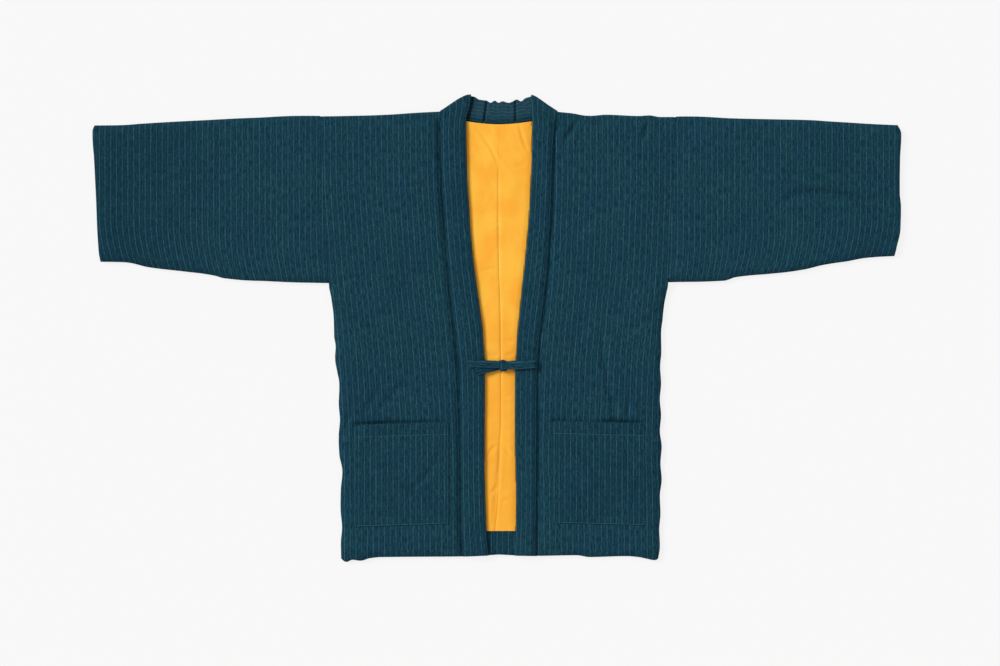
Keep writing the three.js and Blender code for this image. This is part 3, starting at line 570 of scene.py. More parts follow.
def ring_bar(name, rings, uv):
    """A closed bar through rings of points, with flat ends."""
    rows, count = rings.shape[:2]
    points = rings.reshape(-1, 3)
    flat = uv.reshape(-1, 2)
    quads, corners = ring_quads(rows, count)
    k, wide = np.arange(count), count + 1
    ends, ends_uv = [], []
    for end, row, way in ((0, 0, 1), (1, rows - 1, -1)):
        middle = np.full(count, len(points) + end)
        fan = np.stack([middle, row * count + (k + 1) % count, row * count + k], -1)
        at = row * wide + k
        centre_uv = np.broadcast_to(flat[at].mean(0), (count, 2))
        fan_uv = np.stack([centre_uv, flat[at + 1], flat[at]], 1)
        ends.append(fan[:, ::way])
        ends_uv.append(fan_uv[:, ::way])
    centres = [points[:count].mean(0), points[-count:].mean(0)]
    points = np.concatenate([points, np.array(centres)])
    return make_mesh(name, points, [quads, *ends], [flat[corners], *ends_uv])


def closed(u, v):
    """Cloth coordinates in metres, with the first column again after the last."""
    uv = np.stack(np.broadcast_arrays(u, v), -1)
    return np.concatenate([uv, uv[:, :1]], 1) * MM


def paint(obj, name, values):
    """A number for each point, in the order in which the points were made."""
    layer = obj.data.attributes.new(name, "FLOAT", "POINT")
    found = np.zeros(len(obj.data.vertices), np.float32)
    found[: values.size] = values.ravel()
    layer.data.foreach_set("value", found)


def stripe_at(side, out, down):
    """The stripes' own coordinate on a front: they run alongside each other and lean inwards."""
    return out + STRIPE_LEAN[side](down) + STRIPE_START[side]


def body_half(side, sign):
    """A front, its fold over the shoulder and its back as one folded wall."""
    edge = OUTLINE[side]
    rows = np.concatenate([spread(BODY_LENGTH, 2.9), BODY_LENGTH - MOUTH_ROWS])
    front_shares = 1 - np.unique(np.round(rows, 2)) / BODY_LENGTH
    back_shares = spread(BODY_LENGTH, 7.5, (0, 1, 3, 6)) / BODY_LENGTH
    turn = np.linspace(0, np.pi, 12)[1:-1][:, None]
    u = (spread(PANEL, 2.6) / PANEL)[None, :]
    neck_out = np.linspace(SEAM_MEET, NECK_POINT, 27)[:-1]
    neck_cells = len(neck_out)

    def at_seam(share):
        return edge.along(edge.seam, share, SEAM_MEET)

    def at_side(share):
        return edge.along(edge.side, share, -SEAM_MEET)

    share = front_shares[:, None]
    out = mix(at_seam(front_shares)[:, None], at_side(front_shares)[:, None], u)
    down = mix(edge.fold(out) + FOLD_RADIUS, edge.hem(out), share)
    height = np.maximum(front_top(side, out, down) - pocket_dip(side, out, down), FRONT_UNDER + LEAST_WALL)
    front_upper, front_lower = place(sign, out, down, height), place(sign, out, down, FRONT_UNDER)
    front_uv = np.stack([stripe_at(side, out, down), down], -1)

    out = mix(at_seam(0.0), at_side(0.0), u) + 0 * turn
    middle = edge.fold(out) + FOLD_RADIUS
    full = 1 - (SEAM_DIP[side] / WALL) * (1 - fullness((1 - u) * PANEL, SEAM_WIDE)) + 0 * turn
    fold_upper, fold_lower = (
        place(sign, out, middle - radius * np.sin(turn), FOLD_MIDDLE + radius * np.cos(turn))
        for radius in (FOLD_RADIUS - WALL * (1 - full), GAP / 2)
    )
    fold_uv = np.stack([out + STRIPE_START[side], middle - FOLD_RADIUS * turn], -1)

    share = back_shares[:, None]
    neck = neck_out[None, :] + 0 * share
    start = mix(at_seam(0.0), NECK_POINT, np.clip(share * 8, 0, 1))
    out = mix(start, at_side(back_shares)[:, None], u)
    down = mix(edge.fold(out) + FOLD_RADIUS, edge.hem(out), share)
    down = np.concatenate([mix(neckline(neck), edge.hem(neck), share), down], 1)
    out = np.concatenate([neck, out], 1)
    back_upper, back_lower = (place(sign, out, down, z) for z in (back_under(side, out, down), BACK_TOP))
    back_uv = np.stack([out + STRIPE_START[side], -down - FOLD_RADIUS * np.pi], -1)

    def joined(front, fold, back):
        sheet = np.concatenate([front, fold])
        blank = np.zeros((len(sheet), neck_cells, sheet.shape[2]))
        return np.concatenate([np.concatenate([blank, sheet], 1), back])

    upper, lower = joined(front_upper, fold_upper, back_upper), joined(front_lower, fold_lower, back_lower)
    uv = joined(front_uv, fold_uv, back_uv) * MM
    present = np.ones((upper.shape[0] - 1, upper.shape[1] - 1), bool)
    present[: len(front_shares) + len(turn), :neck_cells] = False
    return lattice_wall(f"body_{side}_cloth", upper, lower, uv, present)


def sleeve(side, sign):
    """A sleeve as a flat tube with a slit inside, open at its cuff and at its seam."""
    edge = OUTLINE[side]
    across = spread(SLEEVE_DEEP, 3.2) / SLEEVE_DEEP
    share = np.concatenate([across, across[1:-1][::-1]])[None, :]
    up = np.concatenate([np.ones(len(across)), -np.ones(len(across) - 2)])[None, :]
    t = (spread(SLEEVE_RUN, 3.0) / SLEEVE_RUN)[:, None]
    start_top, start_under = edge.sleeve_top(SLEEVE_SEAM[side]), edge.sleeve_under(SLEEVE_SEAM[side])
    start = edge.side(mix(start_top, start_under, share)) + SEAM_MEET
    out = mix(start, edge.cuff(share), t)
    level = mix(SLEEVE_SEAM[side], CUFF, t)
    top, under = edge.sleeve_top(level), edge.sleeve_under(level)
    down = mix(top, under, share)
    deep = under - top
    room = np.minimum(share, 1 - share) * deep
    seam_room, lip_room, under_room = t * SLEEVE_LONG, (1 - t) * SLEEVE_LONG, (1 - share) * deep
    lip = 1 - fullness(lip_room, 8)
    nearest = np.minimum(room, np.minimum(seam_room, lip_room))
    seed = SLEEVE_SEED[side]
    swell = (0.8 + wadding(out, down, seed)) * smooth(0, 28, nearest)
    swell = swell - SEAM_DIP[side] * (1 - fullness(seam_room, SEAM_WIDE))
    gentle = smooth(1, 7, nearest)
    swell = swell + puckers(under_room, out, seed + 3, 0.8, 18, 29) * gentle
    swell = swell + puckers(share * deep, out, seed + 4, 0.5, 14, 37) * gentle
    swell = swell + puckers(lip_room, down, seed + 5, 0.6, 12, 23) * gentle
    creases = sum(trough(out, down, crease) for crease in SLEEVE_CREASES[side])
    swell = swell + creases * smooth(0, 12, nearest)
    swell = np.where(up > 0, np.maximum(swell, LEAST_WALL - WALL + SLIT), 0)
    lip_share = np.where(up > 0, 0.5, 0.3) * lip
    rise = np.where(up > 0, roundness(room, 12), fullness(room, 5)) * (1 - lip_share)
    outer = place(sign, out, down, FOLD_MIDDLE + up * FOLD_RADIUS * rise + swell * rise)
    hollow = SLIT / 2 * (room > 0) * (1 + 3 * lip)
    inner = place(sign, out, mix(top + WALL, under - WALL, share), FOLD_MIDDLE + up * hollow)
    bend = (1 - np.clip(under_room / SLEEVE_BEND, 0, 1)) ** 2
    stripe = out + mix(5, 13, smooth(290, 400, out)) * bend + SLEEVE_STRIPE_START[side]
    length = np.concatenate([np.where(up > 0, down, 2 * under - down), 2 * under - top], 1)
    uv = np.stack([np.concatenate([stripe, stripe[:, :1]], 1), length], -1) * MM
    tube = tube_wall(f"sleeve_{side}_cloth", outer, inner, uv)
    # Painted shade: each sleeve is darkened towards its cuff
    shade_start, shade_share = SLEEVE_PAINTED_SHADE[side]
    paint(tube, "painted_shade", shade_share * smooth(shade_start, SLEEVE_PAINTED_SHADE_END, out))
    return tube


def collar_section():
    """Share of the band's width round its section, and which face each point is on."""
    edge_steps = np.array([0, 0.2, 0.6, 1.2, 2, 3, 4.2, 5.6, 7.2, 9.2, 11.5])
    steps = spread(COLLAR_WIDE, 2.6, edge_steps) / COLLAR_WIDE
    across = np.concatenate([steps, steps[::-1]])
    face = np.concatenate([np.ones(len(steps)), -np.ones(len(steps))])
    return across, face


def collar_faces(across, turned, near_turn):
    """Shares of half the band's thickness at its outer and its inner face."""
    from_seam, from_free = across * COLLAR_WIDE, (1 - across) * COLLAR_WIDE
    rise = 0.45 * smooth(0, 5, from_seam) + 0.55 * smooth(0, 14, from_seam)
    sunk = mix(mix(-0.62, 0.5, near_turn), 1, rise)
    free = mix(0.12, 1, fullness(from_free, 7.5))
    plain = mix(0.25, 1, fullness(np.minimum(from_seam, from_free), 6.5))
    shaded = mix(-0.3, 1, fullness(from_seam, 19)) * mix(0.35, 1, fullness(from_free, 5))
    outer = mix(np.minimum(sunk, free), plain, turned)
    inner = mix(mix(0.6, 1, fullness(np.minimum(from_seam, from_free), 4)), shaded, turned)
    return outer, inner


def seam_out(side, down):
    """Out to the collar's seam, which stays where it is above the shoulder's fold."""
    edge = OUTLINE[side]
    return float(edge.seam(max(down, edge.fold(NECK_POINT) + FOLD_RADIUS))) - SEAM_MEET


def turn_ends(side):
    """Both ends of the line where the band turns over, and the way in which it bulges there."""
    turn, sign = TURN_AT[side], SIDES[side]
    seam = np.array([sign * seam_out(side, turn["seam_down"]), turn["seam_down"]])
    free = np.array([sign * turn["free_out"], turn["free_down"]])
    run = free - seam
    outward = np.array([run[1], -run[0]]) / np.hypot(*run)
    return seam, free, outward if outward[1] < 0 else -outward


def station(side, seam, free, turn, near_turn=1.0, full=1.0, relief=0.0, near=1.0):
    """One row of the band. It says where its seam and its free edge are and how far it has turned."""
    give, crest = (TURN_AT[side][key] * near_turn for key in ("give", "crest"))
    return dict(
        seam=seam, free=free, outward=turn_ends(side)[2], turn=turn,
        give=give, crest=crest, full=full, relief=relief, near=near,
    )


def band_leg(side):
    """The rows of one front, from the hem to the neck, and those that turn over there."""
    edge, turn, sign = OUTLINE[side], TURN_AT[side], SIDES[side]
    rows = []
    for t in spread(BAND_LONG, 2.7, (0, 0.5, 1.2, 2.2, 3.5, 5)) / BAND_LONG:
        late = float(smooth(0.94, 1, t))
        seam_down = mix(float(edge.hem(edge.seam(BODY_LENGTH))), turn["seam_down"], t)
        free_down = mix(float(edge.hem(edge.free(BODY_LENGTH))), turn["free_down"], t)
        free_out = mix(float(edge.free(free_down)), turn["free_out"], late)
        rows.append(station(
            side, (sign * seam_out(side, seam_down), seam_down), (sign * free_out, free_down), 0.0,
            late, mix(0.35, 1.0, float(fullness(t * BAND_LONG, 5))), 1 - late, float(smooth(0.972, 1, t)),
        ))
    seam, free, _ = turn_ends(side)
    return rows + [station(side, seam, free, float(a)) for a in np.linspace(0, np.pi, 15)[1:-1]]


def band_behind():
    """The rows behind the neck, from left to right."""
    edge_down = curve(NECK_EDGE["x"], NECK_EDGE["down"])
    rows = []
    for t in np.linspace(0, 1, 190):
        side = "left" if t < 0.5 else "right"
        near = float(smooth(0.84, 1, abs(2 * t - 1)))
        free_x = mix(-TURN_AT["left"]["free_out"], TURN_AT["right"]["free_out"], t)
        seam_x = mix(-seam_out("left", 0.0), seam_out("right", 0.0), t)
        seam_down = mix(float(neckline(abs(seam_x))) - GAP, TURN_AT[side]["seam_down"], near)
        rows.append(station(side, (seam_x, seam_down), (free_x, float(edge_down(free_x))), math.pi, near))
    return rows


def collar():
    across, face = collar_section()
    rows = band_leg("left") + band_behind() + band_leg("right")[::-1]
    seam, free, outward, turn, give, crest, full, relief, near_turn = (
        np.array([row[key] for row in rows], float)[:, None]
        for key in ("seam", "free", "outward", "turn", "give", "crest", "full", "relief", "near")
    )
    a = across[None, :]
    swept = crest * 6.75 * a * a * (1 - a) - give * 4 * a * (1 - a)
    flat = seam + (free - seam) * a[..., None] + outward * swept[..., None]
    upright = np.maximum(1 - smooth(0.04, 0.34, a), 0.7 * smooth(0.82, 1, a))[..., None]
    bulge = mix(outward, np.array([0.0, -1.0]), upright)
    bulge = bulge / np.linalg.norm(bulge, axis=-1, keepdims=True)
    outer, inner = collar_faces(a, turn / np.pi, near_turn)
    steps = np.hypot(*np.diff((seam + free)[:, 0] / 2, axis=0).T)
    along = np.cumsum(np.concatenate([[0], steps]))[:, None]
    from_seam, from_free = a * COLLAR_WIDE, (1 - a) * COLLAR_WIDE
    swell = 0.55 * noise(a * 2.1, along / 38, 91) + 0.22 * noise(a * 4.5, along / 13, 90)
    swell = swell + puckers(from_seam, along, 92, 0.5, 10, 14) * smooth(0, 4, from_seam)
    swell = swell + puckers(from_free, along, 94, 0.35, 10, 21) * smooth(0, 3, from_free)
    is_behind = np.abs(turn - np.pi) < 0.01
    x = flat[..., 0]
    gathers = 0.5 * puckers(from_free, x, 97, 1.0, 16, 8.5) + 0.3 * noise(x / 5, a * 2, 98)
    dip = sum(
        tuck["depth"] * np.exp(-(((x - mix(tuck["seam"], tuck["free"], a)) / tuck["half"]) ** 2))
        for tuck in NECK_TUCKS
    )
    half = COLLAR_THICK / 2
    room = smooth(0, 4, np.minimum(a, 1 - a) * COLLAR_WIDE)
    up_reach = half * outer * full + swell * relief
    down_reach = half * inner + np.where(is_behind, (gathers - dip * smooth(0, 0.14, a)) * room, 0)
    reach = np.where(face > 0, up_reach, -down_reach)
    reach = np.where(is_behind & (face < 0), np.minimum(reach, half - 0.6), reach)
    flat = flat + bulge * ((COLLAR_TURN + reach) * TURN_PRESS * np.sin(turn))[..., None]
    height = half + COLLAR_TURN * (1 + np.cos(turn)) + reach * np.cos(turn)
    points = place(1, flat[..., 0], flat[..., 1], height)
    uv = closed(a * np.where(is_behind, COLLAR_WIDE * NECK_STRIPES, COLLAR_WIDE), along)
    band = ring_bar("collar_band", points, uv)
    # Painted highlight: the inner face behind the neck is paler, with brighter stripes, and gets no painted
    # shade
    fade = np.where(is_behind & (face < 0), 1.0, 0.0) * smooth(0.16, 0.36, a)
    paint(band, "fade", fade)
    # Painted shade darkens the band's left side
    paint(band, "painted_shade", COLLAR_PAINTED_SHADE * smooth(30, -30, points[..., 0] / MM) * (1 - fade))
    return band


# How far the lining's centre seam strays to the right, by its distance down
CENTRE_BEND = curve([0, 90, 240, 330, 510, 540, 620, 690], [0, -1, 0, 2.6, 3.3, 1.3, -0.7, -6])

# The lining's creases, with x in place of out, from the neck to the hem
LINING_CREASES = [
    (1.5, 2.3, (-36, 26), (-21, 46), (-9, 66), (-1, 84)),
    (0.9, 2, (-22, 15), (-15, 24), (-7, 36)),
    (1.2, 2.6, (33, 14), (39, 40), (49, 64)),
    (0.7, 3, (10, 80), (26, 88), (44, 84)),
    (0.9, 2.2, (-30, 262), (-14, 258), (-2, 262)),
    (1.0, 2.5, (2, 372), (16, 378), (27, 374)),
    (0.8, 2.4, (2, 398), (14, 401), (24, 396)),
    (0.9, 2.4, (-20, 396), (-10, 402), (0, 398)),
    (0.8, 2.4, (2, 464), (12, 470), (22, 466)),
    (1.2, 2.8, (-18, 566), (-12, 557), (-3, 551)),
    (1.2, 2.8, (2, 552), (10, 556), (20, 566)),
    (1.2, 2.6, (-17, 632), (-6, 622), (4, 614)),
    (0.9, 3, (3, 524), (0, 580), (-6, 640), (-8, 682)),
    (0.9, 2.4, (4, 648), (14, 640), (22, 644)),
]


def lining_half(side, sign):
    edge = OUTLINE[side]
    bottom = BODY_LENGTH - FACING_DEPTH - GAP
    shares = spread(bottom, 2.6, (0, 1, 2.5, 5)) / bottom
    width = edge.seam(shares * (BODY_LENGTH - FACING_DEPTH)) - LINING_INSET
    columns = spread(LINING_WIDE, 1.9, (0, 0.3, 0.8, 1.5, 2.4)) / LINING_WIDE
    bend = CENTRE_BEND(shares * bottom)[:, None] * sign
    out = mix(SEAM_MEET, width[:, None], columns[None, :])
    out = out + bend * (1 - smooth(0, 30, out))
    down = mix(neckline(np.abs(out)) + GAP, bottom, shares[:, None])
    free = edge.free(down)
    opened = smooth(0, 9, free - out)
    seam_room = out - bend
    sewn = smooth(86, 100, down)
    sink = 1 - sewn * (1 - smooth(0, 4, seam_room))
    puff = 0.6 * opened * (1 + 0.55 * noise(sign * out / 19, down / 36, 131)) * sink
    puff = puff - 0.55 * sewn * np.exp(-((seam_room / 0.9) ** 2))
    puff = puff + opened * puckers(seam_room, down, 133, 0.45, 9, 13) * smooth(0, 3, seam_room) * sewn
    # Known fault: under the collar free - out is below 0, these puckers are no number there, and
    # mesh.validate() sets the height of those hidden points to 0. A least room of 0 would mend it.
    puff = puff + opened * puckers(free - out, down, 135, 0.5, 12, 21)
    puff = puff + opened * sum(trough(sign * out, down, crease) for crease in LINING_CREASES)
    lowest = LINING_UNDER + 0.35
    upper = place(sign, out, down, np.maximum(LINING_TOP + puff, lowest))
    lower = place(sign, out, down, LINING_UNDER)
    uv = np.stack([sign * out, down], -1) * MM
    return lattice_wall(f"lining_{side}_cloth", upper, lower, uv)


def hem_facing():
    top, bottom = BODY_LENGTH - FACING_DEPTH, FACING_BOTTOM
    down = (top + spread(bottom - top, 1.6, (0, 0.3, 0.8, 1.6)))[:, None]
    x = np.linspace(-FACING_HALF, FACING_HALF, 72)[None, :]
    down = down + 0.8 * noise(x / 17, 0.5, 141) * smooth(bottom, top, down)
    edge = 0.5 * (1 - fullness(bottom - down, 5)) + 0.4 * (1 - fullness(down - top, 2))
    bumps = 0.35 * noise(x / 14, down / 11, 142) + puckers(bottom - down, x, 143, 0.4, 14, 21)
    inside = smooth(0, 4, np.minimum(down - top, bottom - down))
    upper = place(1, x, down, LINING_TOP - edge + (0.4 + bumps) * inside)
    lower = place(1, x, down, LINING_UNDER)
    uv = np.stack(np.broadcast_arrays(x + FACING_STRIPES, down), -1) * MM
    piece = lattice_wall("hem_facing_cloth", upper, lower, uv)
    # The whole facing is darkened with painted shade
    paint(piece, "painted_shade", FACING_PAINTED_SHADE + 0 * uv[..., 0])
    return piece


def pocket_size(side):
    p = POCKETS[side]
    return p["outer"] - p["inner"], p["bottom"] - p["top"]


def pocket_faces(side, u, v):
    """Places of the pocket's points and the heights of its inner and outer faces."""
    p = POCKETS[side]
    out = mix(p["inner"], p["outer"], u)
    down = mix(p["top"], p["bottom"], v) + mix(-p["inner_rise"], p["outer_drop"], u)
    down = down + 0.5 * noise(u * 5, 0.3, 151) * (1 - v)
    width, height = pocket_size(side)
    side_room = np.minimum(u, 1 - u) * width
    bottom_room = (1 - v) * height
    end_room = np.minimum(v * height, bottom_room)
    rim = fullness(side_room, 2.2) * fullness(end_room, 2.2)
    mouth = 1 - smooth(POCKET_MOUTH - 1.4, POCKET_MOUTH + 1.0, v * height)
    sewn_room = np.minimum(side_room, bottom_room)
    doubled = np.maximum(0.6 * mouth, 0.3 * (1 - smooth(8, 11, sewn_room)))
    stitched = np.exp(-(((v * height - POCKET_MOUTH) / 1.3) ** 2))
    stitched = np.maximum(stitched, np.exp(-(((sewn_room - EDGE_STITCH) / 1.2) ** 2)))
    gape = MOUTH_GAPE[side](u) / 4.6
    lift = 2.4 * gape * (1 - smooth(0, 26, v * height)) * smooth(0, 24, side_room)
    seed = POCKET_SEED[side]
    bag = 0.7 * smooth(4, 30, np.minimum(side_room, end_room)) * (1 + noise(out / 33, down / 45, seed))
    bag = bag + puckers(sewn_room, out + down, seed + 3, 0.3, 9, 12) * smooth(2, 5, sewn_room)
    thick = mix(0.4, POCKET_THICK + doubled, rim) - 0.35 * stitched * rim
    low = front_top(side, out, down) + POCKET_CLEAR + lift
    return out, down, low, low + thick + bag


def pocket(side, sign):
    width, height = pocket_size(side)
    edge_steps = (0, 0.25, 0.6, 1.1, 1.7, 2.4, 3.2, 4.2)
    u = (spread(width, 2.3, edge_steps) / width)[None, :]
    rows = np.concatenate([spread(height, 2.3, edge_steps), POCKET_MOUTH + np.linspace(-2.4, 2.4, 9)])
    v = (np.unique(np.round(rows, 3)) / height)[:, None]
    u, v = np.broadcast_arrays(u, v)
    out, down, low, high = pocket_faces(side, u, v)
    uv = np.stack([out + POCKET_STRIPES, down], -1) * MM
    upper, lower = place(sign, out, down, high), place(sign, out, down, low)
    piece = lattice_wall(f"pocket_{side}_cloth", upper, lower, uv)
    # Painted shade darkens the pocket evenly
    paint(piece, "painted_shade", POCKETS[side]["painted_shade"] + 0 * out)
    return piece


# Stitches: their sizes, how far from a pocket's edge they run, and how far they lie sunk
STITCH = dict(pitch=3.4, long=2.6, radius=0.34)
EDGE_STITCH = 1.5
SUNK = dict(side=0.26, bottom=0.1)


def stitches(name, runs):
    """One small rounded thread for each stitch along runs of points on the cloth."""
    rings, sides = 5, 6
    slide = np.linspace(-1, 1, rings)
    girth = np.sqrt(np.clip(1 - slide**2, 0.06, 1))
    turn = np.linspace(0, 2 * np.pi, sides, endpoint=False)[:, None]
    half, radius = STITCH["long"] / 2 * MM, STITCH["radius"] * MM
    points = []
    for run in runs:
        length = np.concatenate([[0], np.cumsum(np.linalg.norm(np.diff(run, axis=0), axis=1))])
        count = int(length[-1] / (STITCH["pitch"] * MM))
        for k in range(count):
            at = (k + 0.5) / count * length[-1]
            a, b = (
                np.array([np.interp(at + d, length, run[:, c]) for c in range(3)]) for d in (-half, half)
            )
            along = (b - a) / np.linalg.norm(b - a)
            across = np.cross([0, 0, 1], along)
            across /= np.linalg.norm(across)
            above = np.cross(along, across)
            ring = (np.cos(turn) * across + np.sin(turn) * above * 0.8) * radius
            centre = (a + b) / 2 + above * radius * 0.5
            stitch = centre + slide[:, None, None] * along * half + girth[:, None, None] * ring[None]
            points.append(stitch.reshape(-1, 3))
    grid = np.arange(rings * sides).reshape(rings, sides)
    after = np.roll(grid, -1, 1)
    quads = np.stack([grid[:-1], after[:-1], after[1:], grid[1:]], -1).reshape(-1, 4)
    caps = [end[[0, k, k + 1, k + 2]] for end in (grid[0][::-1], grid[-1]) for k in (1, 3)]
    single = np.concatenate([quads, caps])
    faces = np.concatenate([single + k * rings * sides for k in range(len(points))])
    return make_mesh(name, np.concatenate(points), [faces], [np.zeros((*faces.shape, 2))], 80)


def pocket_stitches(side, sign):
    """Threads along a pocket's mouth, its sides, where they lie sunk in the cloth, and its bottom."""
    width, height = pocket_size(side)
    left, right, bottom = EDGE_STITCH / width, 1 - EDGE_STITCH / width, 1 - EDGE_STITCH / height
    mouth = POCKET_MOUTH / height
    seams = [
        (0.6 * left, mouth, 1 - 0.6 * left, mouth, 0), (left, 0.01, left, bottom, SUNK["side"]),
        (left, bottom, right, bottom, SUNK["bottom"]), (right, 0.01, right, bottom, SUNK["side"]),
    ]
    t = np.linspace(0, 1, 160)
    runs = []
    for start_u, start_v, end_u, end_v, sunk in seams:
        out, down, _, high = pocket_faces(side, mix(start_u, end_u, t), mix(start_v, end_v, t))
        runs.append(place(sign, out, down, high - sunk))
    return stitches(f"pocket_{side}_stitches", runs)


def there_and_back(*values):
    """Values out to the end of a loop and back again."""
    return [*values, *values[-2::-1]]


# Ties: the knot's place and size, and each strap's middle line and widths. A loop comes back above
# itself, so that only its z isn't the same both ways.
TIE_THICK = 1.9
TIE_STRIPES = 4.2
KNOT = dict(x=6.9, down=417.8, long=15.0, wide=19.4, low=8.7, high=20.4)
KNOT_LEFT = KNOT["x"] - KNOT["long"] / 2 + 0.2
KNOT_RIGHT = KNOT["x"] + KNOT["long"] / 2 - 0.2
STRAPS = {
    "tie_left": dict(
        x=[-23.3, -12, KNOT_LEFT], down=[418, 418, 418], z=[10.6, 10.4, 10.6], wide=[12, 11, 8],
    ),
    "tie_right": dict(
        x=[KNOT_RIGHT, 20, 26.4], down=[418, 418, 418], z=[10.6, 10.4, 10.6], wide=[8, 11, 12],
    ),
    "bow_tail_left": dict(
        x=[KNOT_LEFT, -12, -22, -31, -39], down=[420.2, 421.8, 423.4, 425.2, 427.4],
        z=[13.3, 14.1, 15.7, 16.65, 16.8], wide=[10.4, 12.6, 14, 14.6, 14.6], slant=1,
    ),
    "bow_tail_right": dict(
        x=[KNOT_RIGHT, 21, 30, 42, 54], down=[418.4, 418, 417.4, 416.6, 416],
        z=[13.3, 14, 15.8, 16.6, 16.6], wide=[11, 12.4, 13, 13, 13],
    ),
    "bow_loop_left": dict(
        x=there_and_back(KNOT_LEFT, -14, -26, -38, -47.5, -49.6),
        down=there_and_back(416, 415.4, 414.8, 414.6, 414.6, 414.6),
        z=[15.2, 16.2, 18.4, 19, 19.1, 20.1, 21.2, 21.1, 20.6, 19, 17.7],
        wide=there_and_back(12, 12.2, 12, 11.8, 11.6, 11.6),
    ),
    "bow_loop_right": dict(
        x=there_and_back(KNOT_RIGHT, 22, 33, 46, 57.5, 59.8),
        down=there_and_back(416.8, 416.8, 416.4, 415.5, 415, 415),
        z=[15.2, 16.2, 18.3, 18.5, 18.6, 19.7, 20.8, 20.7, 20.4, 18.9, 17.5],
        wide=there_and_back(12.5, 14.4, 14.8, 14.2, 13, 12.8),
    ),
}


def squared(value, power):
    """A sine or cosine that stays longer near its ends, which makes a circle squarer."""
    return np.sign(value) * np.abs(value) ** power


def between(t, start, end, a, b):
    """What lies between a at the start and b at the end."""
    return (end - t) / (end - start) * a + (t - start) / (end - start) * b


def centripetal(points, count):
    """Points along a centripetal Catmull-Rom curve, as many steps in each stretch."""
    points = np.asarray(points, float)
    first, last = 2 * points[0] - points[1], 2 * points[-1] - points[-2]
    p = np.concatenate([[first], points, [last]])
    found, shares = [], []
    for k in range(len(points) - 1):
        a, b, c, d = p[k:k + 4]
        roots = [max(np.linalg.norm(step), 1e-6) ** 0.5 for step in (b - a, c - b, d - c)]
        t0, t1, t2, t3 = np.cumsum([0.0, *roots])
        ends = k == len(points) - 2
        for s in np.linspace(0, 1, count + 1)[: count + 1 if ends else count]:
            t = mix(t1, t2, s)
            early, middle, late = between(t, t0, t1, a, b), between(t, t1, t2, b, c), between(t, t2, t3, c, d)
            early, late = between(t, t0, t2, early, middle), between(t, t1, t3, middle, late)
            found.append(between(t, t1, t2, early, late))
            shares.append((k + s) / (len(points) - 1))
    return np.array(found), np.array(shares)


def strap(name, rows):
    """A narrow doubled strap along its table, gathered where it enters the knot."""
    table = np.stack([rows["x"], rows["down"], rows["z"]], -1)
    path, shares = centripetal(table, 14)
    keys = np.linspace(0, 1, len(rows["x"]))
    half = curve(keys, rows["wide"])(shares) / 2
    tangent = np.gradient(path, axis=0)
    tangent /= np.linalg.norm(tangent, axis=1)[:, None]
    steep = np.hypot(tangent[:, 0], tangent[:, 1]) < 0.17
    across = np.stack([
        np.where(steep, 0, tangent[:, 1] * np.sign(tangent[:, 0])),
        np.where(steep, -1, -np.abs(tangent[:, 0])),
        np.zeros(len(path)),
    ], -1)
    across /= np.linalg.norm(across, axis=1)[:, None]
    normal = np.cross(tangent, across)
    normal /= np.linalg.norm(normal, axis=1)[:, None]
    a = np.linspace(0, 2 * np.pi, 33)[:-1]
    w, n = squared(np.cos(a), 0.45), squared(np.sin(a), 0.8)
    pinch = 1 - smooth(2, 18, np.abs(path[:, 0] - KNOT["x"]) - KNOT["long"] / 2)
    furrow = 0.4 * np.cos(w[None, :] * 8.0 + 0.7) * mix(0.25, 1, pinch[:, None]) * (np.abs(w) < 0.9)
    high = TIE_THICK / 2 * n[None, :] + furrow * np.where(n[None, :] > 0, 1, 0)
    points = path[:, None, :] + across[:, None, :] * (half[:, None] * w[None, :])[..., None]
    points = points + normal[:, None, :] * high[..., None]
    points[-1, :, 0] += rows.get("slant", 0) * w * np.sign(points[-1, 0, 1] - path[-1, 1])
    at_knot = np.abs(path[:, 0] - KNOT["x"]) < KNOT["long"] / 2 + 2 * GAP
    points[at_knot, :, 0] = path[at_knot, 0][:, None]
    long = np.concatenate([[0], np.cumsum(np.linalg.norm(np.diff(path, axis=0), axis=1))])
    uv = closed((w * 6.4 + 6.4 + TIE_STRIPES)[None, :], long[:, None])
    return ring_bar(f"{name}_strap", place(1, *np.moveaxis(points, -1, 0)), uv), float(long[-1])


def knot():
    """The knot: the strap wound once over the others, creased along its middle."""
    t = np.linspace(-1, 1, 41)[:, None]
    a = np.linspace(0, 2 * np.pi, 65)[:-1][None, :]
    size = mix(0.62, 1, np.clip(1 - np.abs(t) ** 3.2, 0, 1) ** 0.5)
    c, s = squared(np.cos(a), 0.78), squared(np.sin(a), 0.78)
    crease = 0.35 * np.cos(t * 5.2 + 0.7 * np.sin(a)) + 0.25 * noise(t * 3 + 5, a * 2, 181)
    wide = (KNOT["wide"] / 2 - 0.4 + crease * (1 - np.abs(t) ** 4)) * size
    high = ((KNOT["high"] - KNOT["low"]) / 2 - 0.4 + crease * (1 - np.abs(t) ** 4)) * size
    x = KNOT["x"] + t * KNOT["long"] / 2 + 0 * a
    down = KNOT["down"] - c * wide + 0.5 * t
    z = (KNOT["low"] + KNOT["high"]) / 2 + s * high
    around = np.concatenate([a, [[2 * np.pi]]], 1)
    uv = np.stack(np.broadcast_arrays(t * KNOT["long"] / 2 + 8, around * 7.5), -1) * MM
    return ring_bar("bow_knot_wrap", place(1, x, down, z), uv)


# Materials
def linear(r, g, b):
    """An sRGB colour from 0 to 255 as linear light."""
    found = []
    for value in (r, g, b):
        c = value / 255
        found.append(c / 12.92 if c <= 0.04045 else ((c + 0.055) / 1.055) ** 2.4)
    return (*found, 1.0)


NAVY = linear(29, 73, 92)
GREEN = linear(31, 77, 89)
DEEP = linear(8, 42, 56)
PALE = linear(57, 91, 107)
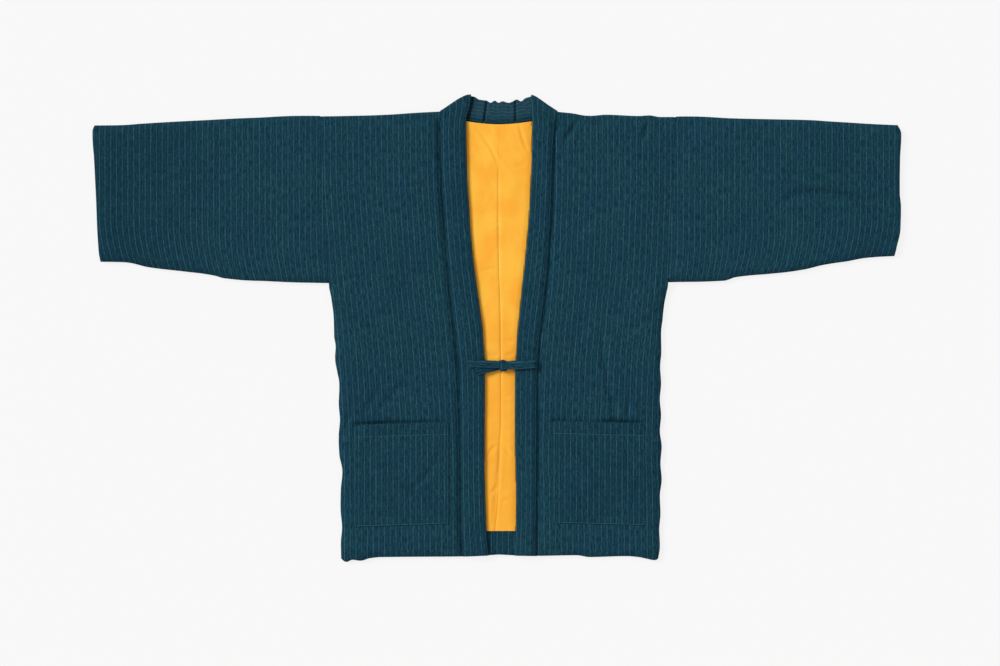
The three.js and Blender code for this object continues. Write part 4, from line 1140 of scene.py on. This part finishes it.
# Colour of a painted highlight on the inner face behind the neck
NECK_HIGHLIGHT = linear(100, 128, 138)
SHEEN = linear(150, 180, 205)
LINING_PALE = linear(255, 189, 60)
LINING_DEEP = linear(253, 174, 47)
LINING_LOW = linear(251, 168, 44)
THREAD = linear(66, 132, 136)
THREAD_DEEP = linear(46, 102, 108)
WEAVE_PITCH = {"outer": 0.7, "lining": 0.5}


class Nodes:
    """Short calls for building a material's nodes."""

    def __init__(self, name):
        self.material = bpy.data.materials.new(name)
        self.material.use_nodes = True
        self.tree = self.material.node_tree
        self.tree.nodes.clear()

    def new(self, kind, inputs=None, **settings):
        node = self.tree.nodes.new(kind)
        for key, value in settings.items():
            setattr(node, key, value)
        for key, value in (inputs or {}).items():
            self.set(node.inputs[key], value)
        return node

    def set(self, socket, value):
        if isinstance(value, bpy.types.NodeSocket):
            self.tree.links.new(value, socket)
        else:
            socket.default_value = value

    def math(self, operation, *values):
        node = self.new("ShaderNodeMath", operation=operation)
        for socket, value in zip(node.inputs, values):
            self.set(socket, value)
        return node.outputs[0]

    def times(self, a, b):
        return self.math("MULTIPLY", a, b)

    def plus(self, a, b):
        return self.math("ADD", a, b)

    def minus(self, a, b):
        return self.math("SUBTRACT", a, b)

    def ramp(self, value, low, high):
        node = self.new("ShaderNodeMapRange", {"Value": value, "From Min": low, "From Max": high})
        node.interpolation_type = "SMOOTHSTEP"
        return node.outputs[0]

    def blend(self, factor, a, b):
        node = self.new("ShaderNodeMix", data_type="RGBA")
        colours = [socket for socket in node.inputs if socket.type == "RGBA"]
        factors = [socket for socket in node.inputs if socket.name == "Factor" and socket.type == "VALUE"]
        for socket, value in zip((factors[0], *colours), (factor, a, b)):
            self.set(socket, value)
        return [socket for socket in node.outputs if socket.type == "RGBA"][0]

    def noise(self, u, v, w, detail=1.0):
        at = self.new("ShaderNodeCombineXYZ", {0: u, 1: v, 2: w}).outputs[0]
        node = self.new("ShaderNodeTexNoise", {"Vector": at, "Scale": 1.0, "Detail": detail})
        return node.outputs["Fac"]

    def painted(self, name):
        return self.new("ShaderNodeAttribute", attribute_name=name).outputs["Fac"]

    def cloth(self):
        """The cloth's own coordinates in metres, across it and along it."""
        uv = self.new("ShaderNodeUVMap", uv_map="cloth").outputs[0]
        return self.new("ShaderNodeSeparateXYZ", {0: uv}).outputs[:2]

    def weave(self, across, along, pitch):
        """Crossed threads, from -1 to 1."""
        rate = 2 * math.pi / (pitch * MM)
        return self.times(*(self.math("SINE", self.times(at, rate)) for at in (across, along)))

    def bump(self, height, strength, distance):
        inputs = {"Height": height, "Strength": strength, "Distance": distance * MM}
        return self.new("ShaderNodeBump", inputs).outputs[0]

    def finish(self, inputs):
        shader = self.new("ShaderNodeBsdfPrincipled", inputs)
        self.new("ShaderNodeOutputMaterial", {"Surface": shader.outputs[0]})
        return self.material


def striped_cloth():
    """Dark blue-green cotton with slubbed pale stripes and faint broken ones between them."""
    n = Nodes("striped_cotton")
    across, along = n.cloth()
    u, v = n.times(across, 1 / (STRIPE * MM)), n.times(along, 1 / MM)

    def mottle(w, wide, long, detail=1.0):
        return n.noise(n.times(u, wide), n.times(v, long), w, detail)

    def slub(w, scale, long):
        return n.noise(n.times(stripe, scale), n.times(v, long), w, 2.0)

    u = n.plus(u, n.times(n.minus(mottle(3.0, 0.7, 0.04), 0.5), 0.12))
    stripe = n.times(n.math("FLOOR", u), 7.31)
    from_line = n.math("ABSOLUTE", n.minus(n.math("FRACT", u), 0.5))
    line = n.minus(1.0, n.ramp(from_line, 0.02, 0.095))
    line = n.times(line, n.plus(0.45, n.times(n.ramp(slub(1.0, 1.0, 0.03), 0.35, 0.65), 0.4)))
    line = n.times(line, n.plus(0.5, n.times(n.ramp(slub(4.0, 1.3, 0.3), 0.36, 0.64), 0.85)))
    faint = n.minus(1.0, n.ramp(n.minus(0.5, from_line), 0.02, 0.09))
    faint = n.times(faint, n.ramp(slub(9.0, 1.7, 0.3), 0.42, 0.66))
    grain = mottle(25.0, 6.6, 0.09)
    colour = n.blend(n.ramp(mottle(5.0, 0.22, 0.012, 3.0), 0.35, 0.65), NAVY, GREEN)
    for darker, share in (
        (n.ramp(mottle(35.0, 0.13, 0.014, 3.0), 0.38, 0.66), 0.16),
        # painted shade on the sleeves, pockets, the band's left side and the facing
        (n.painted("painted_shade"), 0.36),
        (n.ramp(mottle(15.0, 4.3, 0.09, 2.0), 0.4, 0.66), 0.3),
        (n.ramp(grain, 0.38, 0.62), 0.84),
        (n.ramp(mottle(45.0, 7.4, 0.42), 0.38, 0.62), 0.5),
    ):
        colour = n.blend(n.times(darker, share), colour, DEEP)
    # Painted highlight inside the back neck: brighter lines and a paler colour
    fade = n.painted("fade")
    line = n.times(line, n.plus(1.0, n.times(fade, 0.5)))
    colour = n.blend(n.times(faint, 0.3), colour, PALE)
    colour = n.blend(line, colour, PALE)
    colour = n.blend(n.times(fade, 0.06), colour, NECK_HIGHLIGHT)
    raised = n.times(n.weave(across, along, WEAVE_PITCH["outer"]), 0.25)
    raised = n.plus(n.plus(raised, n.times(line, 0.6)), n.times(grain, 0.7))
    return n.finish({
        "Base Color": colour, "Roughness": 0.88, "Normal": n.bump(raised, 0.4, 0.3),
        "Specular IOR Level": 0.06, "Sheen Weight": 0.04, "Sheen Roughness": 0.4, "Sheen Tint": SHEEN,
    })


def thread_cloth():
    """Teal sewing thread, twisted."""
    n = Nodes("sewing_thread")
    at = n.new("ShaderNodeNewGeometry").outputs["Position"]
    twist = n.new("ShaderNodeTexNoise", {"Vector": at, "Scale": 2200.0, "Detail": 1.0}).outputs["Fac"]
    colour = n.blend(twist, THREAD_DEEP, THREAD)
    return n.finish({"Base Color": colour, "Roughness": 0.7, "Specular IOR Level": 0.2})


def lining_cloth():
    """Orange plain-weave lining with a soft gloss."""
    n = Nodes("orange_lining")
    across, along = n.cloth()
    u, v = n.times(across, 1 / MM), n.times(along, 1 / MM)
    cloud = n.noise(n.times(u, 0.03), n.times(v, 0.018), 2.0, 3.0)
    threads = n.noise(n.times(u, 1.4), n.times(v, 0.12), 6.0)
    colour = n.blend(n.ramp(cloud, 0.35, 0.65), LINING_DEEP, LINING_PALE)
    colour = n.blend(n.times(threads, 0.12), colour, LINING_DEEP)
    colour = n.blend(n.times(n.ramp(v, 250.0, 520.0), 0.55), colour, LINING_LOW)
    raised = n.plus(n.times(n.weave(across, along, WEAVE_PITCH["lining"]), 0.3), threads)
    return n.finish({
        "Base Color": colour, "Roughness": 0.62, "Normal": n.bump(raised, 0.2, 0.2),
        "Specular IOR Level": 0.25, "Sheen Weight": 0.05,
    })


outer_cloth = striped_cloth()
inner_cloth = lining_cloth()
sewing_thread = thread_cloth()


def dress(piece, slot, material, *nodes):
    piece.data.materials.append(material)
    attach(piece, "root")
    if nodes:
        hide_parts(*nodes)


# The camera looks straight down, as the photograph does
PHOTO_WIDE, PHOTO_HIGH = 1000, 666
PIXEL = 1.654 * MM
PHOTO_CENTRE_BACK, PHOTO_NECK = 499, 113
LENS = 85.0
SENSOR = 36.0
camera_data = bpy.data.cameras.new("camera")
camera_data.lens = LENS
camera_data.sensor_width = SENSOR
camera = in_scene("camera", camera_data)
distance = PHOTO_WIDE * PIXEL * LENS / SENSOR
camera.location = (
    CENTRE_X + (PHOTO_WIDE / 2 - PHOTO_CENTRE_BACK) * PIXEL,
    NECK_Y - (PHOTO_HIGH / 2 - PHOTO_NECK) * PIXEL,
    distance + FRONT_TOP * MM,
)
camera.rotation_euler = (0, 0, 0)
camera_data.clip_end = 50
bpy.context.scene.camera = camera

# The jacket's pieces
for side, sign in SIDES.items():
    piece = body_half(side, sign)
    dress(piece, "outer_cloth", outer_cloth, f"body_{side}")
    piece = sleeve(side, sign)
    dress(piece, "outer_cloth", outer_cloth, f"sleeve_{side}")
    piece = lining_half(side, sign)
    dress(piece, "lining_cloth", inner_cloth, f"lining_{side}")
    piece = pocket(side, sign)
    dress(piece, "outer_cloth", outer_cloth, f"pocket_{side}")
    thread = pocket_stitches(side, sign)
    dress(thread, "outer_cloth", sewing_thread)
band = collar()
dress(band, "outer_cloth", outer_cloth, "collar")
facing = hem_facing()
dress(facing, "outer_cloth", outer_cloth, "hem_facing")
bow_knot = knot()
dress(bow_knot, "outer_cloth", outer_cloth, "bow_knot")
for name, rows in STRAPS.items():
    piece, long = strap(name, rows)
    dress(piece, "outer_cloth", outer_cloth, name)

# Floor, light and view
FLOOR_HALF = 9.0
FLOOR_Z = -0.0004
FLOOR_GLOW = 0.84
SKY_LIGHT = 0.42
floor_mesh = bpy.data.meshes.new("floor")
corners = [(x * FLOOR_HALF, y * FLOOR_HALF, FLOOR_Z) for x, y in ((-1, -1), (1, -1), (1, 1), (-1, 1))]
floor_mesh.from_pydata(corners, [], [(0, 1, 2, 3)])
floor = in_scene("floor", floor_mesh)
floor_mesh.materials.append(Nodes("pale_floor").finish({
    "Base Color": (0.1, 0.1, 0.1, 1), "Roughness": 0.9, "Specular IOR Level": 0.0,
    "Emission Color": (1, 1, 1, 1), "Emission Strength": FLOOR_GLOW,
}))

world = bpy.data.worlds.new("studio")
world.use_nodes = True
background = world.node_tree.nodes["Background"]
background.inputs["Color"].default_value = (1, 1, 1, 1)
background.inputs["Strength"].default_value = SKY_LIGHT
bpy.context.scene.world = world


def lamp(name, toward, strength, spread_angle):
    """A distant soft light that shines from a direction."""
    data = bpy.data.lights.new(name, "SUN")
    data.energy = strength
    data.angle = math.radians(spread_angle)
    in_scene(name, data).rotation_euler = Vector(toward).to_track_quat("Z", "Y").to_euler()


lamp("key", toward=(-0.68, 0.375, 0.63), strength=2.6, spread_angle=26)
lamp("fill", toward=(0.55, -0.25, 0.8), strength=0.25, spread_angle=60)
view = bpy.context.scene.view_settings
view.view_transform = "Standard"
view.look = "None"
view.exposure = 0.0

bpy.context.view_layer.update()
